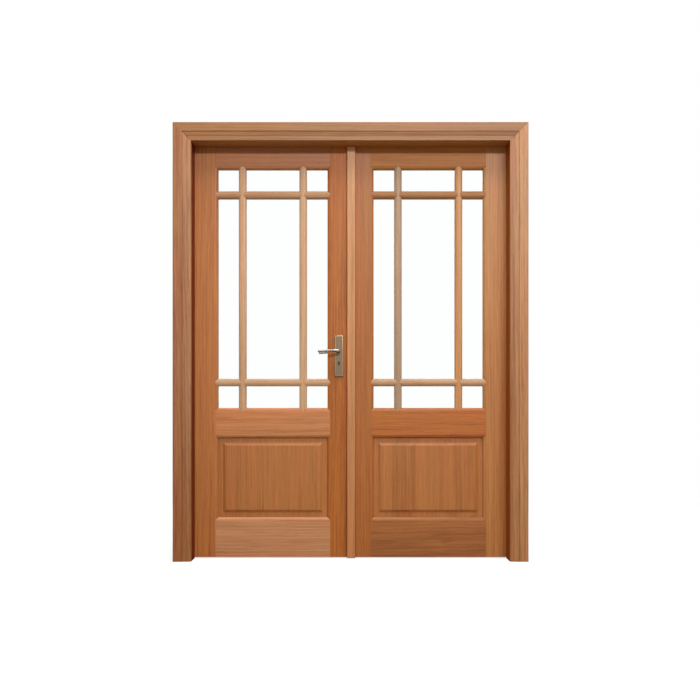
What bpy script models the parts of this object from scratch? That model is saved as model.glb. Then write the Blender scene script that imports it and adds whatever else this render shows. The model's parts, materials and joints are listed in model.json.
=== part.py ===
"""Glazed timber double doors, hung in a rebated lining with architraves on both faces.

Run it with blender --background --python part.py, or from Blender's text editor.
Metres. X runs along the wall, +Y away from the front and +Z up. The origin is on the floor,
half way across the set and half way through its depth. The front faces -Y, and both leaves
swing away from it. Seen from the front, the left leaf is the active one and carries the lock.

Most pieces are worked out by distance from the middle of the set, called u below, and a side:
-1 for the left half and +1 for the right, so x = side * u.
"""

import math
from dataclasses import dataclass, field

import bmesh
import bpy
from mathutils import Vector

LEFT, RIGHT = -1, 1

# ---------------------------------------------------------------- driving dimensions, in metres

# frame
CLEAR_WIDTH = 1.524  # between the linings' faces
CLEAR_HEIGHT = 2.012  # floor to the head lining's face
REVEAL = 0.083  # depth of lining that shows in front of the leaves
REBATE = 0.013  # step in the lining that the leaves close into
LINING_THICKNESS = 0.043  # measured in front of the rebate
ARCHITRAVE_WIDTH = 0.088
ARCHITRAVE_THICKNESS = 0.020
ARCHITRAVE_INNER_FLAT = 0.0245  # low flat beside the opening
ARCHITRAVE_INNER_DROP = 0.005  # that flat, back from the outer one
ARCHITRAVE_BAND_DROP = 0.0015  # top of the middle band, back from the outer flat
ARCHITRAVE_SWELL = 0.008  # width of the middle band's rounded start
ARCHITRAVE_LINE = 0.0445  # inner edge to the far side of the sunk line
ARCHITRAVE_LINE_WIDTH = 0.0022
ARCHITRAVE_LINE_DEPTH = 0.0015
REAR_ARCHITRAVE_THICKNESS = 0.016
REAR_MARGIN = 0.012  # set back from the rebate's arris, to clear the knuckles
SMALL_ARRIS = 0.0015  # radius of an eased corner
LARGE_ARRIS = 0.003
STEP_RISE = 0.001  # fillet between two flats

# leaves
LEAF_THICKNESS = 0.040
HINGE_STILE_FLAT = 0.110
MEETING_STILE_FLAT = 0.09825
TOP_RAIL_FLAT = 0.1055
LOCK_RAIL_FLAT = 0.121
LOCK_RAIL_HEIGHT = 0.6615  # floor to the rail's middle
BOTTOM_RAIL_FLAT = 0.181
BAR_FLAT = 0.011
SIDE_PANE_WIDTH = 0.101
END_PANE_HEIGHT = 0.106
GLASS_THICKNESS = 0.006
TENON_LENGTH = 0.060
TENON_THICKNESS = 0.0115
TENON_SHOULDER = 0.015  # tenon's edge, in from a moulded edge's flat
TENON_HAUNCH = 0.035  # tenon's edge, in from the leaf's end

# mouldings
STICKING = 0.013  # width of the moulded edge round glass and panels
STICKING_LIP = 0.014  # depth from the leaf's face to the back of that edge
QUIRK = 0.0012  # small step between a flat and its moulding
OVOLO_DEPTH = 0.0093
GROOVE_FLOOR = 0.001  # bottom of the panel groove, out from the member's flat edge
PANEL_MARGIN = 0.0235  # flat that shows round the raised field
PANEL_SHOULDER = 0.013
PANEL_SINK = 0.006  # raised field, back from the leaf's face

# cover strip on the passive leaf
STRIP_WIDTH = 0.040
STRIP_THICKNESS = 0.017
STRIP_OFFSET = 0.003  # its middle, towards the passive leaf
STRIP_FLOOR_GAP = 0.003
STRIP_HEAD_GAP = 0.003
STRIP_ARRIS = 0.002

# hinges
HINGE_LENGTH = 0.100
HINGE_LEAF_THICKNESS = 0.0025
HINGE_LEAF_DEPTH = 0.034
KNUCKLE_RADIUS = 0.006
KNUCKLE_COUNT = 5
PIN_RADIUS = 0.003
PIN_PLAY = 0.0001
PIN_HEAD = 0.001  # how far the pin stands out of the knuckles
NECK_THIN = 0.00005  # a knuckle's neck, in from each face of its plate
NECK_LAP = 0.003  # length of that neck over the plate
TOP_HINGE_DROP = 0.200  # leaf's top to the hinge's middle
BOTTOM_HINGE_RISE = 0.275  # leaf's foot to the hinge's middle

# lock and handles on the active leaf
LEVER_HEIGHT = 1.013
KEY_DROP = 0.057  # lever's axis down to the key's
PLATE_WIDTH = 0.041
PLATE_HEIGHT = 0.200
PLATE_THICKNESS = 0.008
PLATE_ARRIS = 0.002
PLATE_DROP = 0.0245  # lever's axis down to the plate's middle
LEVER_REACH = 0.102
LEVER_PROJECTION = 0.050  # leaf's face to the middle of the grip
LEVER_DROOP = 0.007
NECK_RADIUS = 0.0085
LEVER_BEND = 0.014  # radius of the turn from neck to grip
LEVER_ROOT = 0.010  # grip's height where the bend ends
GRIP_HEIGHT = 0.014
GRIP_DEPTH = 0.010
GRIP_END = 0.003  # length of the grip's rounded end
SPINDLE = 0.008  # across the flats of the square bar
SPINDLE_IN_LEVER = 0.022
KEYHOLE_RADIUS = 0.0045
KEYHOLE_SLOT = 0.0045
KEYHOLE_LENGTH = 0.014  # key's axis to the foot of the slot
CASE_BEHIND_AXIS = 0.031  # lever's axis to the lock case's back
CASE_COVER = 0.01225  # wood left between the case and the stile's far flat edge
CASE_THICKNESS = 0.016
CASE_WALL = 0.0016
CASE_ABOVE_LEVER = 0.040
CASE_BELOW_KEY = 0.038
FACEPLATE_WIDTH = 0.022
FACEPLATE_THICKNESS = 0.003
FACEPLATE_OVERHANG = 0.022
HUB_RADIUS = 0.009
HUB_ARM = 0.016
HUB_ARM_WIDTH = 0.005
LATCH_THROW = 0.011
LATCH_HEIGHT = 0.017
ARM_CLEARANCE = 0.0013  # hub's arm to the latch's tail over it
LATCH_LENGTH = 0.024  # behind the faceplate's front
LATCH_TIP = 0.003  # flat left at the latch's point
TAIL_HEIGHT = 0.003
TAIL_LAP = 0.002  # how far a tail runs into its bolt
TAIL_INSET = 0.0002  # tail's top, below its bolt's
HOOK_LENGTH = 0.0035
HOOK_DROP = 0.004  # hook's foot, below the top of the hub's arm
DEAD_BOLT_THROW = 0.014
DEAD_BOLT_HEIGHT = 0.024
DEAD_BOLT_LENGTH = 0.030
DEAD_TAIL_REACH = 0.018  # tail's end, beyond the key's axis
DEAD_TAIL_RISE = 0.0025  # tail's foot, above the keyhole
TALON = 0.008
TALON_DEPTH = 0.0015

# bolts let into the passive leaf's edge
FLUSH_BOLT_LENGTH = 0.200
FLUSH_BOLT_WIDTH = 0.018
FLUSH_ROD = 0.008
FLUSH_ROD_LENGTH = 0.130
FLUSH_THROW = 0.020
FLUSH_FACE = 0.004  # metal between the rod and the leaf's edge
FLUSH_BACK = 0.002  # metal behind the rod
THUMB_LENGTH = 0.010
THUMB_PLACE = 0.104  # leaf's end to the thumb piece
KEEPER_LENGTH = 0.040
KEEPER_WIDTH = 0.020
KEEPER_THICKNESS = 0.0025
KEEPER_PLAY = 0.002  # round the rod

# clearances
JOINT = 0.00025  # between pieces that meet
EDGE_GAP = 0.003  # leaf to lining
FLOOR_GAP = 0.005
MEETING_GAP = 0.0035
STOP_GAP = 0.002  # leaf's face to the rebate's shoulder
PANEL_PLAY = 0.001  # panel's edge to the bottom of its groove
GLASS_PLAY = 0.002
POCKET_PLAY = 0.001
SLIDE_PLAY = 0.0003  # round bolts that slide and the hub that turns

ROUND_SEGMENTS = 24
OVOLO_STEPS = 4
OVERCUT = 0.005  # how far a cutter runs past the face it opens

# ---------------------------------------------------------------- places worked out from them

DEPTH = (
    ARCHITRAVE_THICKNESS + JOINT + REVEAL + STOP_GAP + LEAF_THICKNESS + LEVER_PROJECTION + GRIP_DEPTH / 2
)
FRONT_Y = -DEPTH / 2
WALL_FRONT_Y = FRONT_Y + ARCHITRAVE_THICKNESS
LINING_FRONT_Y = WALL_FRONT_Y + JOINT
STOP_Y = LINING_FRONT_Y + REVEAL
LEAF_FRONT_Y = STOP_Y + STOP_GAP
LEAF_BACK_Y = LEAF_FRONT_Y + LEAF_THICKNESS
LEAF_MIDDLE_Y = (LEAF_FRONT_Y + LEAF_BACK_Y) / 2
WALL_BACK_Y = LEAF_BACK_Y + JOINT

STOP_U = CLEAR_WIDTH / 2
REBATE_U = STOP_U + REBATE
LINING_OUTER_U = STOP_U + LINING_THICKNESS
OUTER_U = STOP_U + ARCHITRAVE_WIDTH
REBATE_Z = CLEAR_HEIGHT + REBATE
LINING_TOP_Z = CLEAR_HEIGHT + LINING_THICKNESS

MEETING_U = MEETING_GAP / 2
MEETING_FLAT_U = MEETING_U + MEETING_STILE_FLAT
EDGE_U = REBATE_U - EDGE_GAP
HINGE_FLAT_U = EDGE_U - HINGE_STILE_FLAT
LEAF_FOOT_Z = FLOOR_GAP
LEAF_TOP_Z = REBATE_Z - EDGE_GAP
BOTTOM_RAIL_TOP_Z = LEAF_FOOT_Z + BOTTOM_RAIL_FLAT
LOCK_RAIL_FOOT_Z = LOCK_RAIL_HEIGHT - LOCK_RAIL_FLAT / 2
LOCK_RAIL_TOP_Z = LOCK_RAIL_HEIGHT + LOCK_RAIL_FLAT / 2
TOP_RAIL_FOOT_Z = LEAF_TOP_Z - TOP_RAIL_FLAT

# sight lines: where the mouldings end and the openings begin
SIGHT_LOW_U = MEETING_FLAT_U + STICKING
SIGHT_HIGH_U = HINGE_FLAT_U - STICKING
GLASS_LOW_Z = LOCK_RAIL_TOP_Z + STICKING
GLASS_HIGH_Z = TOP_RAIL_FOOT_Z - STICKING
PANEL_LOW_Z = BOTTOM_RAIL_TOP_Z + STICKING
PANEL_HIGH_Z = LOCK_RAIL_FOOT_Z - STICKING
BAR_WIDTH = BAR_FLAT + 2 * STICKING
PANES_U = [
    (SIGHT_LOW_U, SIGHT_LOW_U + SIDE_PANE_WIDTH),
    (SIGHT_LOW_U + SIDE_PANE_WIDTH + BAR_WIDTH, SIGHT_HIGH_U - SIDE_PANE_WIDTH - BAR_WIDTH),
    (SIGHT_HIGH_U - SIDE_PANE_WIDTH, SIGHT_HIGH_U),
]
PANES_Z = [
    (GLASS_LOW_Z, GLASS_LOW_Z + END_PANE_HEIGHT),
    (GLASS_LOW_Z + END_PANE_HEIGHT + BAR_WIDTH, GLASS_HIGH_Z - END_PANE_HEIGHT - BAR_WIDTH),
    (GLASS_HIGH_Z - END_PANE_HEIGHT, GLASS_HIGH_Z),
]
BARS_U = [(a[1] + b[0]) / 2 for a, b in zip(PANES_U, PANES_U[1:])]
BARS_Z = [(a[1] + b[0]) / 2 for a, b in zip(PANES_Z, PANES_Z[1:])]

PIN_U = (EDGE_U + REBATE_U) / 2
PIN_Y = LEAF_BACK_Y + KNUCKLE_RADIUS + 2 * JOINT
HINGE_HEIGHTS = {
    "top": LEAF_TOP_Z - TOP_HINGE_DROP,
    "middle": (LEAF_TOP_Z - TOP_HINGE_DROP + LEAF_FOOT_Z + BOTTOM_HINGE_RISE) / 2,
    "bottom": LEAF_FOOT_Z + BOTTOM_HINGE_RISE,
}

BACKSET = MEETING_STILE_FLAT - CASE_COVER - CASE_BEHIND_AXIS  # leaf's meeting edge to both axes
CASE_BACK_U = MEETING_U + BACKSET + CASE_BEHIND_AXIS
LEVER_X = LEFT * (MEETING_U + BACKSET)
LEVER_AXIS = Vector((LEVER_X, LEAF_MIDDLE_Y, LEVER_HEIGHT))
KEY_Z = LEVER_HEIGHT - KEY_DROP
LATCH_Z = LEVER_HEIGHT + HUB_ARM + ARM_CLEARANCE + TAIL_HEIGHT + TAIL_INSET - LATCH_HEIGHT / 2
CASE_TOP_Z = LEVER_HEIGHT + CASE_ABOVE_LEVER
CASE_FOOT_Z = KEY_Z - CASE_BELOW_KEY
BOLT_THICKNESS = CASE_THICKNESS - 2 * CASE_WALL - 4 * SLIDE_PLAY
FLUSH_BOLT_DEPTH = FLUSH_FACE + FLUSH_ROD + FLUSH_BACK
FLUSH_ROD_U = MEETING_U + FLUSH_FACE + FLUSH_ROD / 2


# ---------------------------------------------------------------- finishes


@dataclass(frozen=True)
class Finish:
    """Colour, roughness and metal of one material."""

    colour: tuple
    roughness: float
    metallic: float = 0.0
    transmission: float = 0.0


ARCHITRAVE_WOOD = Finish((0.46, 0.24, 0.12), 0.45)
LINING_WOOD = Finish((0.30, 0.12, 0.05), 0.5)
STILE_WOOD = Finish((0.44, 0.19, 0.08), 0.42)
RAIL_WOOD = Finish((0.42, 0.17, 0.08), 0.42)
PANEL_WOOD = Finish((0.38, 0.15, 0.06), 0.42)
BAR_WOOD = Finish((0.58, 0.33, 0.17), 0.42)
STRIP_WOOD = Finish((0.60, 0.32, 0.15), 0.4)
GLASS = Finish((0.95, 0.97, 0.96), 0.02, transmission=1.0)
SATIN_NICKEL = Finish((0.42, 0.37, 0.31), 0.35, metallic=1.0)
BRIGHT_STEEL = Finish((0.60, 0.58, 0.55), 0.3, metallic=1.0)
BRASS = Finish((0.70, 0.52, 0.24), 0.3, metallic=1.0)


def material(name, finish):
    """Return a Principled material with the finish's values."""
    made = bpy.data.materials.new(name)
    made.use_nodes = True
    shader = made.node_tree.nodes["Principled BSDF"]
    shader.inputs["Base Color"].default_value = (*finish.colour, 1.0)
    shader.inputs["Roughness"].default_value = finish.roughness
    shader.inputs["Metallic"].default_value = finish.metallic
    shader.inputs["Transmission Weight"].default_value = finish.transmission
    return made


# ---------------------------------------------------------------- solids, in world space


class Solid:
    """A closed surface of flat faces, where points in the same place are one corner.

    A triangle whose corners lie in line has no area, so it isn't made a face: its middle corner
    is put on the long edge instead, in the face on that edge's other side.
    """

    def __init__(self):
        self.places = {}
        self.faces = []
        self.on_edge = {}

    def corner(self, point):
        """Return the number of the corner at a point."""
        key = tuple(round(c, 7) for c in point)
        return self.places.setdefault(key, (len(self.places), point))[0]

    def face(self, points):
        """Add a face, leaving out the points that fall on their neighbour."""
        numbers = [self.corner(p) for p in points]
        kept = [i for i, number in enumerate(numbers) if number != numbers[i - 1]]
        loop = [numbers[i] for i in kept]
        if len(set(loop)) < 3:
            return
        middle = middle_in_line([points[i] for i in kept])
        if middle is None:
            self.faces.append(loop)
        else:
            number = loop.pop(middle)
            self.on_edge[frozenset(loop)] = number

    def along(self, start, end):
        """Return the corners from start towards end, without end."""
        middle = self.on_edge.get(frozenset((start, end)))
        if middle is None:
            return [start]
        return self.along(start, middle) + self.along(middle, end)

    def loft(self, rings):
        """Join rings of equally many points with side faces, and close both ends."""
        for low, high in zip(rings, rings[1:]):
            for i in range(len(low)):
                j = (i + 1) % len(low)
                self.face([low[i], low[j], high[j], high[i]])
        self.face(rings[0])
        self.face(rings[-1])
        return self

    def box(self, low, high):
        """Add a box between two corners given in any order."""
        (x0, x1), (y0, y1), (z0, z1) = [sorted(pair) for pair in zip(low, high)]
        corners = [(x0, y0), (x1, y0), (x1, y1), (x0, y1)]
        return self.loft([[(x, y, z) for x, y in corners] for z in (z0, z1)])

    def prism(self, outline, axis, start, end):
        """Run a flat outline along an axis. The outline's points are in the other two axes, in order."""
        rings = []
        for station in (start, end):
            rings.append([spread(point, axis, station) for point in outline])
        return self.loft(rings)

    def mesh(self):
        """Return a bmesh with every face turned outward and coplanar faces merged."""
        made = bmesh.new()
        corners = [made.verts.new(point) for _, point in self.places.values()]
        for loop in self.faces:
            numbers = []
            for start, end in zip(loop, loop[1:] + loop[:1]):
                numbers += self.along(start, end)
            made.faces.new([corners[number] for number in numbers])
        bmesh.ops.recalc_face_normals(made, faces=made.faces)
        flat = math.radians(0.01)
        bmesh.ops.dissolve_limit(made, angle_limit=flat, verts=made.verts, edges=made.edges)
        return made


def middle_in_line(points):
    """Return which corner of a triangle lies on its opposite side, or None."""
    if len(points) != 3:
        return None
    for i, point in enumerate(points):
        before, after = points[i - 1], points[(i + 1) % 3]
        detour = math.dist(before, point) + math.dist(point, after) - math.dist(before, after)
        if detour < 1e-9:
            return i
    return None


def spread(point, axis, station):
    """Return a 3D point from two coordinates and a station along the named axis."""
    a, b = point
    return {"X": (station, a, b), "Y": (a, station, b), "Z": (a, b, station)}[axis]


def circle(centre, radius, segments=ROUND_SEGMENTS):
    """Return the points of a circle round a 2D centre, with one at its rightmost."""
    turns = [2 * math.pi * i / segments for i in range(segments)]
    return [(centre[0] + radius * math.cos(t), centre[1] + radius * math.sin(t)) for t in turns]


def arc(centre, radius, start, end, steps):
    """Return points along an arc between two angles in degrees, both ends included."""
    turns = [math.radians(start + (end - start) * i / steps) for i in range(steps + 1)]
    return [(centre[0] + radius * math.cos(t), centre[1] + radius * math.sin(t)) for t in turns]


# ---------------------------------------------------------------- objects


@dataclass
class Carrier:
    """An empty that carries pieces, with its place in the world."""

    empty: bpy.types.Object
    place: Vector


def carrier(name, place, parent=None):
    """Make an empty at a world place, under another carrier if one is given."""
    empty = bpy.data.objects.new(name, None)
    bpy.context.scene.collection.objects.link(empty)
    empty.empty_display_size = 0.1
    empty.location = Vector(place)
    if parent:
        empty.parent = parent.empty
        empty.location -= parent.place
    return Carrier(empty, Vector(place))


def add(name, solid, finish, parent, origin, round_piece=False):
    """Make a named object of a world-space solid, with its origin at the given world place."""
    origin = Vector(origin)
    built = solid.mesh()
    bmesh.ops.translate(built, vec=-origin, verts=built.verts)
    mesh = bpy.data.meshes.new(name)
    built.to_mesh(mesh)
    built.free()
    if finish:
        mesh.materials.append(material(f"{name}_finish", finish))
    if round_piece:
        mesh.shade_smooth()
        mesh.set_sharp_from_angle(angle=math.radians(35))
    piece = bpy.data.objects.new(name, mesh)
    bpy.context.scene.collection.objects.link(piece)
    piece.parent = parent.empty
    piece.location = origin - parent.place
    return piece


def boolean(piece, tool, parent, label, operation="DIFFERENCE"):
    """Cut or join a world-space solid with a piece through a Boolean modifier."""
    place = parent.place + piece.location
    helper = add(f"{piece.name}_{label}", tool, None, parent, place)
    helper.display_type = "WIRE"
    helper.hide_render = True
    modifier = piece.modifiers.new(label, "BOOLEAN")
    modifier.operation = operation
    modifier.solver = "EXACT"
    modifier.object = helper


# ---------------------------------------------------------------- lining and architraves


def build_lining(frame):
    """Two rebated jambs with the head lining resting across them."""
    for side, word in ((LEFT, "left"), (RIGHT, "right")):
        body = Solid().box(
            (side * STOP_U, LINING_FRONT_Y, 0), (side * LINING_OUTER_U, LEAF_BACK_Y, REBATE_Z - JOINT)
        )
        foot = (side * LINING_OUTER_U, LEAF_BACK_Y, 0)
        jamb = add(f"{word}_jamb", body, LINING_WOOD, frame, foot)
        rebate = Solid().box(
            (side * (STOP_U - OVERCUT), STOP_Y, -OVERCUT),
            (side * REBATE_U, LEAF_BACK_Y + OVERCUT, REBATE_Z + OVERCUT),
        )
        boolean(jamb, rebate, frame, "rebate")
        under_head = Solid().box(
            (side * (STOP_U - OVERCUT), LINING_FRONT_Y - OVERCUT, CLEAR_HEIGHT - JOINT),
            (side * (LINING_OUTER_U + OVERCUT), STOP_Y + JOINT, REBATE_Z + OVERCUT),
        )
        boolean(jamb, under_head, frame, "head_seat")
        recesses = Solid()
        for height in HINGE_HEIGHTS.values():
            recesses.box(
                (side * (REBATE_U - OVERCUT), LEAF_BACK_Y - HINGE_LEAF_DEPTH - JOINT, height - hinge_reach()),
                (side * (REBATE_U + hinge_seat()), LEAF_BACK_Y + OVERCUT, height + hinge_reach()),
            )
        boolean(jamb, recesses, frame, "hinge_recesses")

    profile = [
        (LINING_FRONT_Y, CLEAR_HEIGHT),
        (STOP_Y, CLEAR_HEIGHT),
        (STOP_Y, REBATE_Z),
        (LEAF_BACK_Y, REBATE_Z),
        (LEAF_BACK_Y, LINING_TOP_Z),
        (LINING_FRONT_Y, LINING_TOP_Z),
    ]
    body = Solid().prism(profile, "X", -LINING_OUTER_U, LINING_OUTER_U)
    head = add("head_lining", body, LINING_WOOD, frame, (0, LEAF_BACK_Y, LINING_TOP_Z))
    half_l, half_w = KEEPER_LENGTH / 2, KEEPER_WIDTH / 2
    keeper_seat = Solid().box(
        (FLUSH_ROD_U - half_l - JOINT, LEAF_MIDDLE_Y - half_w - JOINT, REBATE_Z - OVERCUT),
        (FLUSH_ROD_U + half_l + JOINT, LEAF_MIDDLE_Y + half_w + JOINT, keeper_top() + JOINT),
    )
    boolean(head, keeper_seat, frame, "keeper_seat")
    hole = FLUSH_ROD / 2 + KEEPER_PLAY
    deep = LEAF_TOP_Z + FLUSH_THROW + POCKET_PLAY
    bolt_hole = Solid().box(
        (FLUSH_ROD_U - hole, LEAF_MIDDLE_Y - hole, REBATE_Z - OVERCUT),
        (FLUSH_ROD_U + hole, LEAF_MIDDLE_Y + hole, deep),
    )
    boolean(head, bolt_hole, frame, "bolt_hole")

    plate = Solid().box(
        (FLUSH_ROD_U - half_l, LEAF_MIDDLE_Y - half_w, REBATE_Z),
        (FLUSH_ROD_U + half_l, LEAF_MIDDLE_Y + half_w, keeper_top()),
    )
    keeper = add("bolt_keeper", plate, BRIGHT_STEEL, frame, (FLUSH_ROD_U, LEAF_MIDDLE_Y, REBATE_Z))
    keeper_hole = Solid().box(
        (FLUSH_ROD_U - hole, LEAF_MIDDLE_Y - hole, REBATE_Z - OVERCUT),
        (FLUSH_ROD_U + hole, LEAF_MIDDLE_Y + hole, keeper_top() + OVERCUT),
    )
    boolean(keeper, keeper_hole, frame, "bolt_hole")


def keeper_top():
    """Height of the keeper's upper face, let into the head lining."""
    return REBATE_Z + KEEPER_THICKNESS


def front_moulding():
    """Section of the front architrave: distance out from its inner edge, and height off the wall.

    A flat by the opening, a low ogee band, a sunk line, then a higher flat with a rounded outer arris.
    """
    thick = ARCHITRAVE_THICKNESS
    low, middle = thick - ARCHITRAVE_INNER_DROP, thick - ARCHITRAVE_BAND_DROP
    step, line = ARCHITRAVE_INNER_FLAT, ARCHITRAVE_LINE
    swell = (low + 2 * middle) / 3
    sunk = middle - ARCHITRAVE_LINE_DEPTH
    inner, outer = SMALL_ARRIS, LARGE_ARRIS
    return [
        (0, 0),
        *arc((inner, low - inner), inner, 180, 90, 2),
        (step, low),
        (step, low + STEP_RISE),
        (step + ARCHITRAVE_SWELL, swell),
        (line - 2 * ARCHITRAVE_LINE_WIDTH, middle),
        (line - ARCHITRAVE_LINE_WIDTH, middle),
        (line - ARCHITRAVE_LINE_WIDTH, sunk),
        (line, sunk),
        (line, thick - STEP_RISE),
        (line + STEP_RISE, thick),
        *arc((ARCHITRAVE_WIDTH - outer, thick - outer), outer, 90, 0, 3),
        (ARCHITRAVE_WIDTH, 0),
    ]


def rear_moulding(width):
    """Section of the plain rear architrave, with both arrises rounded."""
    thick, arris = REAR_ARCHITRAVE_THICKNESS, LARGE_ARRIS
    return [
        (0, 0),
        *arc((arris, thick - arris), arris, 180, 90, 2),
        *arc((width - arris, thick - arris), arris, 90, 0, 2),
        (width, 0),
    ]


def build_architrave(frame, word, section, inner_u, inner_z, wall_y, outward, finish):
    """One face's three mitred lengths. outward is the Y direction that the moulding faces."""
    mitre = JOINT * math.sqrt(2)
    for side, name in ((LEFT, "left"), (RIGHT, "right")):
        foot = [(side * (inner_u + w), wall_y + outward * d, 0) for w, d in section]
        top = [(side * (inner_u + w), wall_y + outward * d, inner_z + w - mitre) for w, d in section]
        body = Solid().loft([foot, top])
        add(f"{word}_architrave_{name}", body, finish, frame, (side * inner_u, wall_y, 0))
    ends = []
    for side in (LEFT, RIGHT):
        ends.append([(side * (inner_u + w), wall_y + outward * d, inner_z + w) for w, d in section])
    add(f"{word}_architrave_head", Solid().loft(ends), finish, frame, (0, wall_y, inner_z))


# ---------------------------------------------------------------- leaves: framing


def ovolo():
    """Depth from the face and reach from the flat, down the quarter-round moulding."""
    points = [(QUIRK, 0.0)]
    for i in range(1, OVOLO_STEPS + 1):
        turn = math.pi / 2 * i / OVOLO_STEPS
        depth = QUIRK + OVOLO_DEPTH * (1 - math.cos(turn))
        points.append((depth, STICKING * math.sin(turn)))
    return points


def framing_levels():
    """Depths through a stile or rail, with how far its edge reaches at glass and at a panel.

    Behind the front moulding the edge is rebated for glass, and grooved for a panel. At a panel
    the back has the front's moulding again.
    """
    thick, lip = LEAF_THICKNESS, STICKING_LIP
    levels = [(0.0, 0.0, 0.0)]
    levels += [(depth, reach, reach) for depth, reach in ovolo()]
    levels += [(lip, STICKING, STICKING), (lip, 0.0, GROOVE_FLOOR)]
    levels += [(thick - lip, 0.0, GROOVE_FLOOR), (thick - lip, 0.0, STICKING)]
    levels += [(thick - depth, 0.0, reach) for depth, reach in reversed(ovolo())]
    levels += [(thick, 0.0, 0.0)]
    return levels


def bar_levels():
    """Depths through a glazing bar, which stops at the glass."""
    levels = [(0.0, 0.0, 0.0)]
    levels += [(depth, reach, reach) for depth, reach in ovolo()]
    levels += [(STICKING_LIP, STICKING, STICKING)]
    return levels


@dataclass
class Member:
    """A stile, rail or bar: a straight core between its flats, with moulded edges at openings.

    Each edge lists the openings beside it as (start, end, at_panel), between sight lines. The
    moulded edge is mitred at both ends of an opening.
    """

    low_u: float
    high_u: float
    low_z: float
    high_z: float
    below: list = field(default_factory=list)
    above: list = field(default_factory=list)
    inward: list = field(default_factory=list)  # towards low u
    outward: list = field(default_factory=list)  # towards high u

    def outline(self, at_glass, at_panel):
        """Return the member's outline in u and z where its edges reach this far."""
        points = [(self.low_u, self.low_z)]
        for a, b, r in self.edge(self.below, at_glass, at_panel):
            z = self.low_z
            points += [(a, z), (a + r, z - r), (b - r, z - r), (b, z)]
        points.append((self.high_u, self.low_z))
        for a, b, r in self.edge(self.outward, at_glass, at_panel):
            u = self.high_u
            points += [(u, a), (u + r, a + r), (u + r, b - r), (u, b)]
        points.append((self.high_u, self.high_z))
        for a, b, r in reversed(self.edge(self.above, at_glass, at_panel)):
            z = self.high_z
            points += [(b, z), (b - r, z + r), (a + r, z + r), (a, z)]
        points.append((self.low_u, self.high_z))
        for a, b, r in reversed(self.edge(self.inward, at_glass, at_panel)):
            u = self.low_u
            points += [(u, b), (u - r, b - r), (u - r, a + r), (u, a)]
        return points

    def edge(self, openings, at_glass, at_panel):
        """Return each opening's moulded length at the flat, and its reach."""
        grown = STICKING - JOINT
        return [(a - grown, b + grown, at_panel if panel else at_glass) for a, b, panel in openings]

    def solid(self, side, levels):
        """Stack the outlines through the leaf's thickness."""
        rings = []
        for depth, at_glass, at_panel in levels:
            y = LEAF_FRONT_Y + depth
            rings.append([(side * u, y, z) for u, z in self.outline(at_glass, at_panel)])
        return Solid().loft(rings)

    def centre(self, side):
        """World place of the core's middle, on the leaf's front face."""
        return (side * (self.low_u + self.high_u) / 2, LEAF_FRONT_Y, (self.low_z + self.high_z) / 2)


def glass_edges(intervals):
    """Openings of a glazed edge, one for each pane."""
    return [(a, b, False) for a, b in intervals]


PANEL_EDGE_Z = (PANEL_LOW_Z, PANEL_HIGH_Z, True)
PANEL_EDGE_U = (SIGHT_LOW_U, SIGHT_HIGH_U, True)
STILE_OPENINGS = [PANEL_EDGE_Z, *glass_edges(PANES_Z)]
SHOULDER_LOW_U = MEETING_FLAT_U + JOINT
SHOULDER_HIGH_U = HINGE_FLAT_U - JOINT

STILES = {
    "meeting_stile": Member(MEETING_U, MEETING_FLAT_U, LEAF_FOOT_Z, LEAF_TOP_Z, outward=STILE_OPENINGS),
    "hinge_stile": Member(HINGE_FLAT_U, EDGE_U, LEAF_FOOT_Z, LEAF_TOP_Z, inward=STILE_OPENINGS),
}
RAILS = {
    "bottom_rail": Member(
        SHOULDER_LOW_U, SHOULDER_HIGH_U, LEAF_FOOT_Z, BOTTOM_RAIL_TOP_Z, above=[PANEL_EDGE_U]
    ),
    "lock_rail": Member(
        SHOULDER_LOW_U,
        SHOULDER_HIGH_U,
        LOCK_RAIL_FOOT_Z,
        LOCK_RAIL_TOP_Z,
        below=[PANEL_EDGE_U],
        above=glass_edges(PANES_U),
    ),
    "top_rail": Member(
        SHOULDER_LOW_U, SHOULDER_HIGH_U, TOP_RAIL_FOOT_Z, LEAF_TOP_Z, below=glass_edges(PANES_U)
    ),
}
# how far each tenon is set in from its rail's lower and upper edge
TENON_SHOULDERS = {
    "bottom_rail": (TENON_HAUNCH, TENON_SHOULDER),
    "lock_rail": (TENON_SHOULDER, TENON_SHOULDER),
    "top_rail": (TENON_SHOULDER, TENON_HAUNCH),
}


def tenon_box(rail_name, stile_low, play=0.0):
    """Corners in u and z of the tenons at one end of a rail. stile_low is True at the meeting stile."""
    rail = RAILS[rail_name]
    under, over = TENON_SHOULDERS[rail_name]
    low_z, high_z = rail.low_z + under - play, rail.high_z - over + play
    if stile_low:
        return (MEETING_FLAT_U - TENON_LENGTH - play, rail.low_u + OVERCUT), (low_z, high_z)
    return (rail.high_u - OVERCUT, HINGE_FLAT_U + TENON_LENGTH + play), (low_z, high_z)


def tenon_solid(side, spans, half, solid):
    """Add one tenon, or one mortise, in the middle of the leaf's thickness."""
    (u0, u1), (z0, z1) = spans
    solid.box((side * u0, LEAF_MIDDLE_Y - half, z0), (side * u1, LEAF_MIDDLE_Y + half, z1))


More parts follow.
